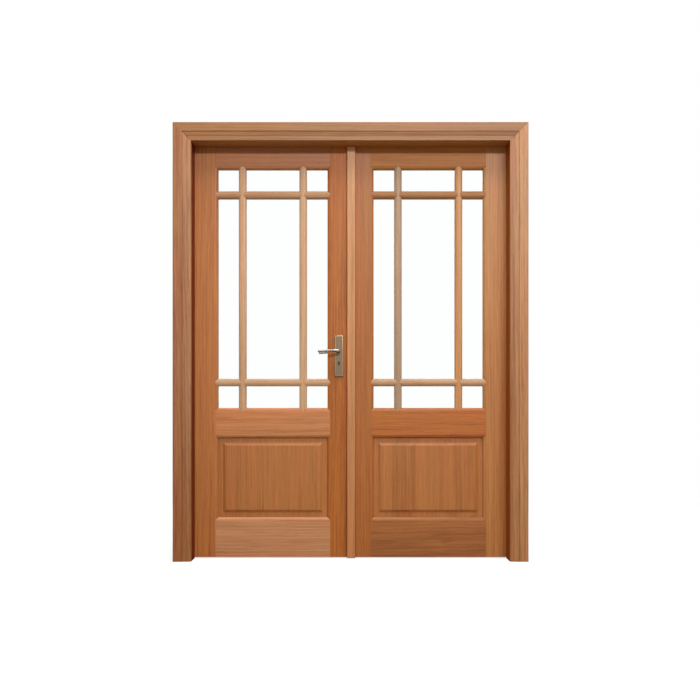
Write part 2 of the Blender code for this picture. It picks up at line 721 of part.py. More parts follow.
def build_framing(side, word, leaf):
    """Stiles and rails of one leaf, tenoned together. Returns its stiles by name."""
    made = {}
    half = TENON_THICKNESS / 2
    for name, stile in STILES.items():
        body = stile.solid(side, framing_levels())
        piece = add(f"{word}_{name}", body, STILE_WOOD, leaf, stile.centre(side))
        mortises = Solid()
        for rail_name in RAILS:
            spans = tenon_box(rail_name, name == "meeting_stile", JOINT)
            tenon_solid(side, spans, half + JOINT, mortises)
        boolean(piece, mortises, leaf, "mortises")
        made[name] = piece
    for name, rail in RAILS.items():
        body = rail.solid(side, framing_levels())
        piece = add(f"{word}_{name}", body, RAIL_WOOD, leaf, rail.centre(side))
        tenons = Solid()
        for stile_low in (True, False):
            tenon_solid(side, tenon_box(name, stile_low), half, tenons)
        boolean(piece, tenons, leaf, "tenons", "UNION")
    recesses = Solid()
    for height in HINGE_HEIGHTS.values():
        recesses.box(
            (side * (EDGE_U + OVERCUT), LEAF_BACK_Y - HINGE_LEAF_DEPTH - JOINT, height - hinge_reach()),
            (side * (EDGE_U - hinge_seat()), LEAF_BACK_Y + OVERCUT, height + hinge_reach()),
        )
    boolean(made["hinge_stile"], recesses, leaf, "hinge_recesses")
    return made


def build_bars(side, word, leaf):
    """Two upright and two level bars in front of the glass, halved over each other."""
    low_z, high_z = LOCK_RAIL_TOP_Z + JOINT, TOP_RAIL_FOOT_Z - JOINT
    half = BAR_FLAT / 2
    notch = half + JOINT
    halving_y = LEAF_FRONT_Y + STICKING_LIP / 2
    for u, name in zip(BARS_U, ("inner", "outer")):
        panes = glass_edges(PANES_Z)
        bar = Member(u - half, u + half, low_z, high_z, inward=panes, outward=panes)
        body = bar.solid(side, bar_levels())
        piece = add(f"{word}_upright_bar_{name}", body, BAR_WOOD, leaf, bar.centre(side))
        halving = Solid()
        for z in BARS_Z:
            halving.box(
                (side * (u - BAR_WIDTH), halving_y - JOINT / 2, z - notch),
                (side * (u + BAR_WIDTH), LEAF_BACK_Y, z + notch),
            )
        boolean(piece, halving, leaf, "halving")
    for z, name in zip(BARS_Z, ("lower", "upper")):
        panes = glass_edges(PANES_U)
        bar = Member(SHOULDER_LOW_U, SHOULDER_HIGH_U, z - half, z + half, below=panes, above=panes)
        body = bar.solid(side, bar_levels())
        piece = add(f"{word}_level_bar_{name}", body, BAR_WOOD, leaf, bar.centre(side))
        halving = Solid()
        for u in BARS_U:
            halving.box(
                (side * (u - notch), LEAF_FRONT_Y - OVERCUT, z - BAR_WIDTH),
                (side * (u + notch), halving_y + JOINT / 2, z + BAR_WIDTH),
            )
        boolean(piece, halving, leaf, "halving")


def build_glazing(side, word, leaf):
    """The pane, and the glued grille of bead and bars that holds it from the back."""
    pane_y = LEAF_FRONT_Y + STICKING_LIP + JOINT
    grow = STICKING - GLASS_PLAY
    pane = Solid().box(
        (side * (SIGHT_LOW_U - grow), pane_y, GLASS_LOW_Z - grow),
        (side * (SIGHT_HIGH_U + grow), pane_y + GLASS_THICKNESS, GLASS_HIGH_Z + grow),
    )
    middle = (side * (SIGHT_LOW_U + SIGHT_HIGH_U) / 2, pane_y, (GLASS_LOW_Z + GLASS_HIGH_Z) / 2)
    add(f"{word}_glass", pane, GLASS, leaf, middle)

    grille_y = pane_y + GLASS_THICKNESS + JOINT
    grow = STICKING - JOINT
    grille = Solid().box(
        (side * (SIGHT_LOW_U - grow), grille_y, GLASS_LOW_Z - grow),
        (side * (SIGHT_HIGH_U + grow), LEAF_BACK_Y, GLASS_HIGH_Z + grow),
    )
    piece = add(f"{word}_rear_grille", grille, BAR_WOOD, leaf, (middle[0], grille_y, middle[2]))
    openings = Solid()
    steps = [(grille_y - OVERCUT, 0.0)]
    steps += [(LEAF_BACK_Y - depth, STICKING - reach) for depth, reach in reversed(ovolo())]
    steps += [(LEAF_BACK_Y + OVERCUT, STICKING)]
    for u0, u1 in PANES_U:
        for z0, z1 in PANES_Z:
            rings = [rectangle(side, u0 - g, u1 + g, y, z0 - g, z1 + g) for y, g in steps]
            openings.loft(rings)
    boolean(piece, openings, leaf, "openings")


def rectangle(side, u0, u1, y, z0, z1):
    """Corners of an upright rectangle at one depth."""
    return [(side * u, y, z) for u, z in ((u0, z0), (u1, z0), (u1, z1), (u0, z1))]


def build_panel(side, word, leaf):
    """Solid panel, raised and fielded on both faces, loose in its groove."""
    tongue = STICKING_LIP + JOINT
    hidden = PANEL_PLAY + GROOVE_FLOOR - STICKING
    field_in = PANEL_MARGIN + PANEL_SHOULDER
    front = [(PANEL_SINK, field_in), (PANEL_SINK + QUIRK, field_in), (tongue, PANEL_MARGIN), (tongue, hidden)]
    back = [(LEAF_THICKNESS - depth, inset) for depth, inset in reversed(front)]
    rings = []
    for depth, inset in front + back:
        y = LEAF_FRONT_Y + depth
        rings.append(
            rectangle(
                side,
                SIGHT_LOW_U + inset,
                SIGHT_HIGH_U - inset,
                y,
                PANEL_LOW_Z + inset,
                PANEL_HIGH_Z - inset,
            )
        )
    middle = (side * (SIGHT_LOW_U + SIGHT_HIGH_U) / 2, LEAF_FRONT_Y, (PANEL_LOW_Z + PANEL_HIGH_Z) / 2)
    add(f"{word}_panel", Solid().loft(rings), PANEL_WOOD, leaf, middle)


# ---------------------------------------------------------------- hinges


def hinge_reach():
    """Half the height of a hinge's recess."""
    return HINGE_LENGTH / 2 + JOINT


def hinge_seat():
    """Depth of a hinge's recess, which leaves the plate flush."""
    return HINGE_LEAF_THICKNESS + JOINT


def knuckle_outline(side, plate_u, away):
    """Plan outline of a knuckle with the neck that joins it to its plate.

    plate_u is the plate's face towards the gap, and away is +1 where the plate lies on the high-u
    side of that face. The neck is a little thinner than the plate.
    """
    near = plate_u + away * NECK_THIN
    far = plate_u + away * (HINGE_LEAF_THICKNESS - NECK_THIN)
    points = []
    for u in (near, far):
        drop = math.sqrt(KNUCKLE_RADIUS**2 - (u - PIN_U) ** 2)
        points.append(math.degrees(math.atan2(-drop, u - PIN_U)))
    start, end = points
    if away > 0:
        end -= 360
    else:
        end += 360
    around = arc((PIN_U, PIN_Y), KNUCKLE_RADIUS, start, end, ROUND_SEGMENTS)
    foot = PIN_Y - KNUCKLE_RADIUS - NECK_LAP
    return [(side * u, y) for u, y in [(near, foot), *around, (far, foot)]]


def build_hinges(side, word, leaf, frame):
    """Three butt hinges: each a frame half that holds the pin, and a leaf half that turns on it."""
    plate_front, plate_back = LEAF_BACK_Y - HINGE_LEAF_DEPTH, LEAF_BACK_Y + JOINT / 2
    pitch = HINGE_LENGTH / KNUCKLE_COUNT
    for place, height in HINGE_HEIGHTS.items():
        foot = height - HINGE_LENGTH / 2
        halves = (
            ("frame", frame, REBATE_U, 1, range(0, KNUCKLE_COUNT, 2)),
            ("leaf", leaf, EDGE_U, -1, range(1, KNUCKLE_COUNT, 2)),
        )
        for half, parent, plate_u, away, knuckles in halves:
            plate = Solid().box(
                (side * plate_u, plate_front, foot),
                (side * (plate_u + away * HINGE_LEAF_THICKNESS), plate_back, foot + HINGE_LENGTH),
            )
            origin = (side * PIN_U, PIN_Y, height)
            name = f"{word}_{half}_hinge_{place}"
            piece = add(name, plate, BRIGHT_STEEL, parent, origin, round_piece=True)
            outline = knuckle_outline(side, plate_u, away)
            rolled = Solid()
            for index in knuckles:
                start = foot + index * pitch
                trim = JOINT / 2
                low_trim = 0 if index == 0 else trim
                high_trim = 0 if index == KNUCKLE_COUNT - 1 else trim
                rolled.prism(outline, "Z", start + low_trim, start + pitch - high_trim)
            boolean(piece, rolled, parent, "knuckles", "UNION")
            axis = (side * PIN_U, PIN_Y)
            if half == "frame":
                low, high = foot - PIN_HEAD, foot + HINGE_LENGTH + PIN_HEAD
                pin = Solid().prism(circle(axis, PIN_RADIUS), "Z", low, high)
                boolean(piece, pin, parent, "pin", "UNION")
            else:
                low, high = foot - OVERCUT, foot + HINGE_LENGTH + OVERCUT
                bore = Solid().prism(circle(axis, PIN_RADIUS + PIN_PLAY), "Z", low, high)
                boolean(piece, bore, parent, "bore")


# ---------------------------------------------------------------- lock, plates and levers


def keyhole_outline(grow=0.0):
    """Outline in x and z of a keyhole round its axis: a round eye over a slot."""
    radius, half = KEYHOLE_RADIUS + grow, KEYHOLE_SLOT / 2 + grow
    edge = math.degrees(math.acos(-half / radius))
    eye = arc((LEVER_X, KEY_Z), radius, edge - 180, 180 - edge + 180, 16)
    foot = KEY_Z - KEYHOLE_LENGTH - grow
    return [(LEVER_X - half, foot), (LEVER_X + half, foot), *eye]


def build_lock(leaf, meeting_stile):
    """Mortice lock: case, the seats it needs in the stile, and its two bolts."""
    front_x = LEFT * MEETING_U
    face_back_x = front_x + LEFT * FACEPLATE_THICKNESS
    case_back_x = LEFT * CASE_BACK_U
    half = CASE_THICKNESS / 2
    face_low, face_high = CASE_FOOT_Z - FACEPLATE_OVERHANG, CASE_TOP_Z + FACEPLATE_OVERHANG

    faceplate = Solid().box(
        (front_x, LEAF_MIDDLE_Y - FACEPLATE_WIDTH / 2, face_low),
        (face_back_x, LEAF_MIDDLE_Y + FACEPLATE_WIDTH / 2, face_high),
    )
    case = add("lock_case", faceplate, BRIGHT_STEEL, leaf, (front_x, LEAF_MIDDLE_Y, LEVER_HEIGHT))
    body = Solid().box(
        (face_back_x - LEFT * FACEPLATE_THICKNESS / 2, LEAF_MIDDLE_Y - half, CASE_FOOT_Z),
        (case_back_x, LEAF_MIDDLE_Y + half, CASE_TOP_Z),
    )
    boolean(case, body, leaf, "body", "UNION")
    inner = half - CASE_WALL
    hollow = Solid().box(
        (face_back_x, LEAF_MIDDLE_Y - inner, CASE_FOOT_Z + CASE_WALL),
        (case_back_x - LEFT * CASE_WALL, LEAF_MIDDLE_Y + inner, CASE_TOP_Z - CASE_WALL),
    )
    boolean(case, hollow, leaf, "hollow")
    mouths = Solid()
    for middle, height in ((LATCH_Z, LATCH_HEIGHT), (KEY_Z, DEAD_BOLT_HEIGHT)):
        reach = height / 2 + SLIDE_PLAY
        mouths.box(
            (front_x - LEFT * OVERCUT, LEAF_MIDDLE_Y - BOLT_THICKNESS / 2 - SLIDE_PLAY, middle - reach),
            (face_back_x + LEFT * OVERCUT, LEAF_MIDDLE_Y + BOLT_THICKNESS / 2 + SLIDE_PLAY, middle + reach),
        )
    boolean(case, mouths, leaf, "bolt_mouths")
    through = Solid().prism(
        circle((LEVER_X, LEVER_HEIGHT), HUB_RADIUS + SLIDE_PLAY),
        "Y",
        LEAF_MIDDLE_Y - half - OVERCUT,
        LEAF_MIDDLE_Y + half + OVERCUT,
    )
    through.prism(keyhole_outline(), "Y", LEAF_MIDDLE_Y - half - OVERCUT, LEAF_MIDDLE_Y + half + OVERCUT)
    boolean(case, through, leaf, "hub_and_keyhole")

    seat = Solid().box(
        (front_x - LEFT * OVERCUT, LEAF_MIDDLE_Y - FACEPLATE_WIDTH / 2 - JOINT, face_low - JOINT),
        (face_back_x + LEFT * JOINT, LEAF_MIDDLE_Y + FACEPLATE_WIDTH / 2 + JOINT, face_high + JOINT),
    )
    boolean(meeting_stile, seat, leaf, "faceplate_seat")
    pocket = Solid().box(
        (front_x, LEAF_MIDDLE_Y - half - JOINT, CASE_FOOT_Z - JOINT),
        (case_back_x + LEFT * POCKET_PLAY, LEAF_MIDDLE_Y + half + JOINT, CASE_TOP_Z + JOINT),
    )
    boolean(meeting_stile, pocket, leaf, "lock_pocket")
    drilled = Solid().prism(
        circle((LEVER_X, LEVER_HEIGHT), NECK_RADIUS + POCKET_PLAY),
        "Y",
        LEAF_FRONT_Y - OVERCUT,
        LEAF_BACK_Y + OVERCUT,
    )
    drilled.prism(keyhole_outline(POCKET_PLAY), "Y", LEAF_FRONT_Y - OVERCUT, LEAF_BACK_Y + OVERCUT)
    boolean(meeting_stile, drilled, leaf, "spindle_and_keyhole")
    build_latch(leaf, front_x)
    build_dead_bolt(leaf, front_x)


def build_latch(leaf, front_x):
    """Sprung latch, bevelled on the side that meets the strike first, with a tail over the hub."""
    rest = (front_x, LEAF_MIDDLE_Y, LATCH_Z)
    latch = carrier("latch_carrier", rest, leaf)
    tip_x, back_x = front_x - LEFT * LATCH_THROW, front_x + LEFT * LATCH_LENGTH
    y0, y1 = LEAF_MIDDLE_Y - BOLT_THICKNESS / 2, LEAF_MIDDLE_Y + BOLT_THICKNESS / 2
    plan = [(back_x, y0), (front_x, y0), (tip_x, y1 - LATCH_TIP), (tip_x, y1), (back_x, y1)]
    low, high = LATCH_Z - LATCH_HEIGHT / 2, LATCH_Z + LATCH_HEIGHT / 2
    head = Solid().prism(plan, "Z", low, high)
    piece = add("latch_bolt", head, BRASS, latch, rest)
    tail_half = BOLT_THICKNESS / 4
    hook_x = LEVER_X + LEFT * (HUB_ARM_WIDTH / 2 + SLIDE_PLAY)
    hook_end = hook_x + LEFT * HOOK_LENGTH
    hook_foot = LEVER_HEIGHT + HUB_ARM - HOOK_DROP
    tail_x, tail_top = back_x - LEFT * TAIL_LAP, high - TAIL_INSET
    profile = [
        (tail_x, tail_top),
        (tail_x, tail_top - TAIL_HEIGHT),
        (hook_x, tail_top - TAIL_HEIGHT),
        (hook_x, hook_foot),
        (hook_end, hook_foot),
        (hook_end, tail_top),
    ]
    tail = Solid().prism(profile, "Y", LEAF_MIDDLE_Y - tail_half, LEAF_MIDDLE_Y + tail_half)
    boolean(piece, tail, latch, "tail", "UNION")


def build_dead_bolt(leaf, front_x):
    """Bolt thrown by the key, withdrawn at rest, with a notched tail above the keyhole."""
    rest = (front_x, LEAF_MIDDLE_Y, KEY_Z)
    bolt = carrier("dead_bolt_carrier", rest, leaf)
    half = BOLT_THICKNESS / 2
    head = Solid().box(
        (front_x, LEAF_MIDDLE_Y - half, KEY_Z - DEAD_BOLT_HEIGHT / 2),
        (front_x + LEFT * DEAD_BOLT_LENGTH, LEAF_MIDDLE_Y + half, KEY_Z + DEAD_BOLT_HEIGHT / 2),
    )
    piece = add("dead_bolt", head, BRASS, bolt, rest)
    tail_foot = KEY_Z + KEYHOLE_RADIUS + DEAD_TAIL_RISE
    tail_top = KEY_Z + DEAD_BOLT_HEIGHT / 2 - TAIL_INSET
    tail_end = LEVER_X + LEFT * DEAD_TAIL_REACH
    tail = Solid().box(
        (front_x + LEFT * (DEAD_BOLT_LENGTH - TAIL_LAP), LEAF_MIDDLE_Y - half / 2, tail_foot),
        (tail_end, LEAF_MIDDLE_Y + half / 2, tail_top),
    )
    boolean(piece, tail, bolt, "tail", "UNION")
    notch = Solid().box(
        (LEVER_X - TALON / 2, LEAF_MIDDLE_Y - half, tail_foot - OVERCUT),
        (LEVER_X + TALON / 2, LEAF_MIDDLE_Y + half, tail_foot + TALON_DEPTH),
    )
    boolean(piece, notch, bolt, "talon")


def build_plates(leaf):
    """The two long plates, each with the lever's bearing hole and a keyhole."""
    middle_z = LEVER_HEIGHT - PLATE_DROP
    x0, x1 = LEVER_X - PLATE_WIDTH / 2, LEVER_X + PLATE_WIDTH / 2
    z0, z1 = middle_z - PLATE_HEIGHT / 2, middle_z + PLATE_HEIGHT / 2
    for word, face_y, outward in (("front", LEAF_FRONT_Y, -1), ("rear", LEAF_BACK_Y, 1)):
        back = face_y + outward * JOINT
        edge = PLATE_THICKNESS - PLATE_ARRIS
        steps = [(0.0, 0.0)]
        for depth, inset in arc((edge, PLATE_ARRIS), PLATE_ARRIS, -90, 0, 2):
            steps.append((depth, inset))
        rings = []
        for depth, inset in steps:
            y = back + outward * depth
            corners = ((x0 + inset, z0 + inset), (x1 - inset, z0 + inset), (x1 - inset, z1 - inset))
            corners += ((x0 + inset, z1 - inset),)
            rings.append([(x, y, z) for x, z in corners])
        name = f"{word}_plate"
        plate = add(name, Solid().loft(rings), SATIN_NICKEL, leaf, (LEVER_X, back, LEVER_HEIGHT))
        holes = Solid()
        outline = circle((LEVER_X, LEVER_HEIGHT), NECK_RADIUS + SLIDE_PLAY)
        near, far = face_y - outward * OVERCUT, back + outward * (PLATE_THICKNESS + OVERCUT)
        holes.prism(outline, "Y", near, far)
        holes.prism(keyhole_outline(), "Y", near, far)
        boolean(plate, holes, leaf, "holes")


def lever_rings(outward):
    """Sections of one lever, from the neck's inner end to the tip of the grip.

    The neck runs straight out of the plate, bends a quarter turn towards the hinges and becomes a
    flattened grip that droops and deepens a little towards its tip.
    """
    face_y = LEAF_FRONT_Y if outward < 0 else LEAF_BACK_Y
    start_y = face_y + outward * 4 * JOINT
    grip_y = face_y + outward * LEVER_PROJECTION
    bend = LEVER_BEND
    stations = [(0.0, start_y, 0.0, 90.0, NECK_RADIUS, NECK_RADIUS)]
    stations += [(0.0, grip_y - outward * (bend + NECK_RADIUS / 2), 0.0, 90.0, NECK_RADIUS, NECK_RADIUS)]
    turns = 5
    for i in range(turns + 1):
        share = i / turns
        turn = math.radians(90 * share)
        along, out = bend * (1 - math.cos(turn)), bend * (math.sin(turn) - 1)
        height = blend(NECK_RADIUS, LEVER_ROOT / 2, share)
        deep = blend(NECK_RADIUS, GRIP_DEPTH / 2, share)
        stations.append((along, grip_y + outward * out, 0.0, 90 - 90 * share, height, deep))
    grips = 6
    for i in range(1, grips + 1):
        share = i / grips
        along = blend(bend, LEVER_REACH - GRIP_END, share)
        height = blend(LEVER_ROOT, GRIP_HEIGHT, share) / 2
        stations.append((along, grip_y, -LEVER_DROOP * share**2, 0.0, height, GRIP_DEPTH / 2))
    last = stations[-1]
    for turn in (math.radians(35), math.radians(65), math.radians(82)):
        along = last[0] + GRIP_END * math.sin(turn)
        stations.append((along, grip_y, last[2], 0.0, last[4] * math.cos(turn), last[5] * math.cos(turn)))

    rings = []
    for along, y, z, turn, height, deep in stations:
        lean = math.radians(turn)
        ring = []
        for a, b in circle((0, 0), 1.0, 16):
            across = deep * a
            x = LEVER_X + LEFT * (along + across * math.sin(lean))
            ring.append((x, y - outward * across * math.cos(lean), LEVER_HEIGHT + z + height * b))
        rings.append(ring)
    return rings


def blend(first, second, share):
    """Return a value part of the way from the first to the second."""
    return first + (second - first) * share


def build_levers(leaf):
    """Two levers on a square spindle, whose hub turns in the lock and draws the latch."""
    turning = carrier("lever_carrier", LEVER_AXIS, leaf)
    half = SPINDLE / 2
    for word, outward in (("front", -1), ("rear", 1)):
        face_y = LEAF_FRONT_Y if outward < 0 else LEAF_BACK_Y
        body = Solid().loft(lever_rings(outward))
        lever = add(f"{word}_lever", body, SATIN_NICKEL, turning, LEVER_AXIS, round_piece=True)
        play = half + JOINT
        socket = Solid().box(
            (LEVER_X - play, face_y - outward * OVERCUT, LEVER_HEIGHT - play),
            (LEVER_X + play, face_y + outward * (SPINDLE_IN_LEVER + POCKET_PLAY), LEVER_HEIGHT + play),
        )
        boolean(lever, socket, turning, "socket")
    bar = Solid().box(
        (LEVER_X - half, LEAF_FRONT_Y - SPINDLE_IN_LEVER, LEVER_HEIGHT - half),
        (LEVER_X + half, LEAF_BACK_Y + SPINDLE_IN_LEVER, LEVER_HEIGHT + half),
    )
    spindle = add("spindle", bar, BRIGHT_STEEL, turning, LEVER_AXIS)
    reach = CASE_THICKNESS / 2
    hub = Solid().prism(
        circle((LEVER_X, LEVER_HEIGHT), HUB_RADIUS), "Y", LEAF_MIDDLE_Y - reach, LEAF_MIDDLE_Y + reach
    )
    boolean(spindle, hub, turning, "hub", "UNION")
    arm_half = CASE_THICKNESS / 2 - CASE_WALL - SLIDE_PLAY
    arm = Solid().box(
        (LEVER_X - HUB_ARM_WIDTH / 2, LEAF_MIDDLE_Y - arm_half, LEVER_HEIGHT),
        (LEVER_X + HUB_ARM_WIDTH / 2, LEAF_MIDDLE_Y + arm_half, LEVER_HEIGHT + HUB_ARM),
    )
    boolean(spindle, arm, turning, "arm", "UNION")


# ---------------------------------------------------------------- passive leaf's fittings


def build_strip(leaf):
    """Cover strip on the passive leaf's face, lapping the active leaf, with eased front arrises."""
    middle = RIGHT * STRIP_OFFSET
    x0, x1 = middle - STRIP_WIDTH / 2, middle + STRIP_WIDTH / 2
    back = LEAF_FRONT_Y - JOINT
    front = back - STRIP_THICKNESS
    ease = STRIP_ARRIS
    plan = [(x0, back), *arc((x0 + ease, front + ease), ease, 180, 270, 2)]
    plan += [*arc((x1 - ease, front + ease), ease, 270, 360, 2), (x1, back)]
    body = Solid().prism(plan, "Z", STRIP_FLOOR_GAP, CLEAR_HEIGHT - STRIP_HEAD_GAP)
    add("cover_strip", body, STRIP_WOOD, leaf, (middle, back, STRIP_FLOOR_GAP))


def build_strike(leaf, meeting_stile):
    """Strike plate in the passive leaf's edge, with a lip to its back face, over two pockets."""
    front_x = RIGHT * MEETING_U
    back_x = front_x + FACEPLATE_THICKNESS
    half = FACEPLATE_WIDTH / 2
    low, high = CASE_FOOT_Z - FACEPLATE_OVERHANG, CASE_TOP_Z + FACEPLATE_OVERHANG
    lip = LATCH_HEIGHT
    outline = [
        (LEAF_MIDDLE_Y - half, low),
        (LEAF_MIDDLE_Y + half, low),
        (LEAF_MIDDLE_Y + half, LATCH_Z - lip),
        (LEAF_BACK_Y, LATCH_Z - lip),
        (LEAF_BACK_Y, LATCH_Z + lip),
        (LEAF_MIDDLE_Y + half, LATCH_Z + lip),
        (LEAF_MIDDLE_Y + half, high),
        (LEAF_MIDDLE_Y - half, high),
    ]
    plate = Solid().prism(outline, "X", front_x, back_x)
    strike = add("strike_plate", plate, BRIGHT_STEEL, leaf, (front_x, LEAF_MIDDLE_Y, LATCH_Z))
    holes, pockets = Solid(), Solid()
    for middle, height, throw in (
        (LATCH_Z, LATCH_HEIGHT, LATCH_THROW),
        (KEY_Z, DEAD_BOLT_HEIGHT, DEAD_BOLT_THROW),
    ):
        across, tall = BOLT_THICKNESS / 2 + POCKET_PLAY, height / 2 + POCKET_PLAY
        sides = (LEAF_MIDDLE_Y - across, LEAF_MIDDLE_Y + across)
        holes.box((front_x - OVERCUT, sides[0], middle - tall), (back_x + OVERCUT, sides[1], middle + tall))
        deep = LEFT * MEETING_U + throw + POCKET_PLAY
        pockets.box((front_x, sides[0], middle - tall), (deep, sides[1], middle + tall))
    boolean(strike, holes, leaf, "bolt_holes")

    seat = Solid().box(
        (front_x - OVERCUT, LEAF_MIDDLE_Y - half - JOINT, low - JOINT),
        (back_x + JOINT, LEAF_MIDDLE_Y + half + JOINT, high + JOINT),
    )
    boolean(meeting_stile, seat, leaf, "strike_seat")
    lip_seat = Solid().box(
        (front_x - OVERCUT, LEAF_MIDDLE_Y, LATCH_Z - lip - JOINT),
        (back_x + JOINT, LEAF_BACK_Y + OVERCUT, LATCH_Z + lip + JOINT),
    )
    boolean(meeting_stile, lip_seat, leaf, "lip_seat")
    boolean(meeting_stile, pockets, leaf, "bolt_pockets")


def build_flush_bolts(leaf, meeting_stile):
    """Top and bottom bolts in the passive leaf's edge, each a grooved case with a sliding rod."""
    edge_x = RIGHT * MEETING_U
    rod_x = RIGHT * FLUSH_ROD_U
    half_w, half_rod = FLUSH_BOLT_WIDTH / 2, FLUSH_ROD / 2
    for word, end_z, inward in (("top", LEAF_TOP_Z, -1), ("bottom", LEAF_FOOT_Z, 1)):
        far_z = end_z + inward * FLUSH_BOLT_LENGTH
        body = Solid().box(
            (edge_x, LEAF_MIDDLE_Y - half_w, end_z),
            (edge_x + FLUSH_BOLT_DEPTH, LEAF_MIDDLE_Y + half_w, far_z),
        )
        case = add(f"{word}_bolt_case", body, BRIGHT_STEEL, leaf, (edge_x, LEAF_MIDDLE_Y, end_z))
        rod_far = end_z + inward * FLUSH_ROD_LENGTH
        run = half_rod + SLIDE_PLAY
        groove = Solid().box(
            (rod_x - run, LEAF_MIDDLE_Y - run, end_z - inward * OVERCUT),
            (rod_x + run, LEAF_MIDDLE_Y + run, rod_far + inward * SLIDE_PLAY),
        )
        boolean(case, groove, leaf, "groove")
        thumb_z = end_z + inward * THUMB_PLACE
        thumb = THUMB_LENGTH / 2
        slide = thumb + SLIDE_PLAY
        slot = Solid().box(
            (edge_x - OVERCUT, LEAF_MIDDLE_Y - half_rod / 2 - SLIDE_PLAY, thumb_z + inward * slide),
            (rod_x, LEAF_MIDDLE_Y + half_rod / 2 + SLIDE_PLAY, thumb_z - inward * (slide + FLUSH_THROW)),
        )
        boolean(case, slot, leaf, "thumb_slot")
        seat = Solid().box(
            (edge_x - OVERCUT, LEAF_MIDDLE_Y - half_w - JOINT, end_z - inward * OVERCUT),
            (edge_x + FLUSH_BOLT_DEPTH + JOINT, LEAF_MIDDLE_Y + half_w + JOINT, far_z + inward * JOINT),
        )
        boolean(meeting_stile, seat, leaf, f"{word}_bolt_seat")

        rest = (rod_x, LEAF_MIDDLE_Y, end_z)
        sliding = carrier(f"{word}_bolt_carrier", rest, leaf)
        rod = Solid().box(
            (rod_x - half_rod, LEAF_MIDDLE_Y - half_rod, end_z + inward * JOINT),
            (rod_x + half_rod, LEAF_MIDDLE_Y + half_rod, rod_far),
        )
        piece = add(f"{word}_bolt_rod", rod, BRASS, sliding, rest)
        button = Solid().box(
            (edge_x + JOINT, LEAF_MIDDLE_Y - half_rod / 2, thumb_z - thumb),
            (rod_x, LEAF_MIDDLE_Y + half_rod / 2, thumb_z + thumb),
        )
        boolean(piece, button, sliding, "thumb", "UNION")


# ---------------------------------------------------------------- whole set


def clear_scene():
    """Remove every object that the file opened with."""
    for old in list(bpy.data.objects):
        bpy.data.objects.remove(old, do_unlink=True)


def build():
    """Build the frame, then each leaf on its hinge axis."""
    clear_scene()
    frame = carrier("frame_carrier", (0, 0, 0))
    build_lining(frame)
    front = front_moulding()
    build_architrave(frame, "front", front, STOP_U, CLEAR_HEIGHT, WALL_FRONT_Y, -1, ARCHITRAVE_WOOD)
    set_back = REBATE + REAR_MARGIN
    rear = rear_moulding(ARCHITRAVE_WIDTH - set_back)
    inner_u, inner_z = STOP_U + set_back, CLEAR_HEIGHT + set_back
    build_architrave(frame, "rear", rear, inner_u, inner_z, WALL_BACK_Y, 1, ARCHITRAVE_WOOD)

    for side, word in ((LEFT, "left"), (RIGHT, "right")):
        leaf = carrier(f"{word}_leaf_carrier", (side * PIN_U, PIN_Y, 0))
        stiles = build_framing(side, word, leaf)
        build_bars(side, word, leaf)
        build_glazing(side, word, leaf)
        build_panel(side, word, leaf)
        build_hinges(side, word, leaf, frame)
        if side == LEFT:
            build_lock(leaf, stiles["meeting_stile"])
            build_plates(leaf)
            build_levers(leaf)
        else:
            build_strip(leaf)
            build_strike(leaf, stiles["meeting_stile"])
            build_flush_bolts(leaf, stiles["meeting_stile"])


build()
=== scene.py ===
"""Looks of the glazed timber double doors: varnished wood, clear glass, satin nickel and steel.

Metres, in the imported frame: X runs along the wall, +Y away from the front and +Z up. The wood
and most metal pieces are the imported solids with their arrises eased. The panes, lock case,
strike, keeper, bolt cases and spindle stay as packed. The levers are modelled again here as
smooth closed skins, and the screws and the plate behind the keyhole are added.
"""

import json
import logging
import math
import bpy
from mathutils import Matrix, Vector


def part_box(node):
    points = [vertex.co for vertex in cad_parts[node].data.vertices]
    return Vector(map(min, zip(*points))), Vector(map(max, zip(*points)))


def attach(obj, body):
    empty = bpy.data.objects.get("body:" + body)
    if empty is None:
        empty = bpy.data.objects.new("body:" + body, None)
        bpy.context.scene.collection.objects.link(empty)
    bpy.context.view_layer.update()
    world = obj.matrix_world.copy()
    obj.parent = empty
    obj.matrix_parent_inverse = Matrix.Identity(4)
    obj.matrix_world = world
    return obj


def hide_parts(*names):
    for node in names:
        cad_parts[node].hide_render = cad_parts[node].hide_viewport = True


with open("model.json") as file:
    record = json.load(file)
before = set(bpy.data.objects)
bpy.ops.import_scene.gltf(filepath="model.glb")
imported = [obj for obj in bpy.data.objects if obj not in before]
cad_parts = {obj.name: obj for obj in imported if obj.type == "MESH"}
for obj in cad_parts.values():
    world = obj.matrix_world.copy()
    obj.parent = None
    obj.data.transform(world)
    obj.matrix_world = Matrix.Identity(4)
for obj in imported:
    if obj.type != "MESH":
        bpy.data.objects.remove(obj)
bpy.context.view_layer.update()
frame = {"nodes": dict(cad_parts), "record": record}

import zlib
from dataclasses import dataclass
from enum import Enum
from functools import reduce
from typing import Any, Iterable

import bmesh
import bpy
import numpy as np
from mathutils import Vector

BODIES = frame["record"]["behaviour"]["bodies"]
BODY_OF = {node: body for body, nodes in BODIES.items() for node in nodes}
SIDES = ("left", "right")
REPORT = logging.getLogger("doors")

Triple = tuple[float, float, float]
Colour = Triple
Pair = tuple[float, float]
Bands = tuple[Pair, ...]
Socket = bpy.types.NodeSocket
Piece = bpy.types.Object

# distances from the doors' middle, in X
HALF_SPAN = 0.8  # to where a level board's ends have their own tone
SIDE_LIGHT_BAND = (0.782, 0.790, 1.0, 0.0)  # where the painted light and shade beside the opening fades out
RAW_FACE = (0.8030, 0.8045)  # where varnish gives way to raw wood


def srgb(*channels: int) -> Colour:
    """Linear colour of a screen colour: a power of 2.4 over a short straight foot.

    Args:
        channels: red, green and blue, from 0 to 255.

    Returns:
        The three linear shares.
    """
    shares = np.array(channels) / 255
    linear = np.where(shares <= 0.04045, shares / 12.92, ((shares + 0.055) / 1.055) ** 2.4)
    return tuple(linear.tolist())


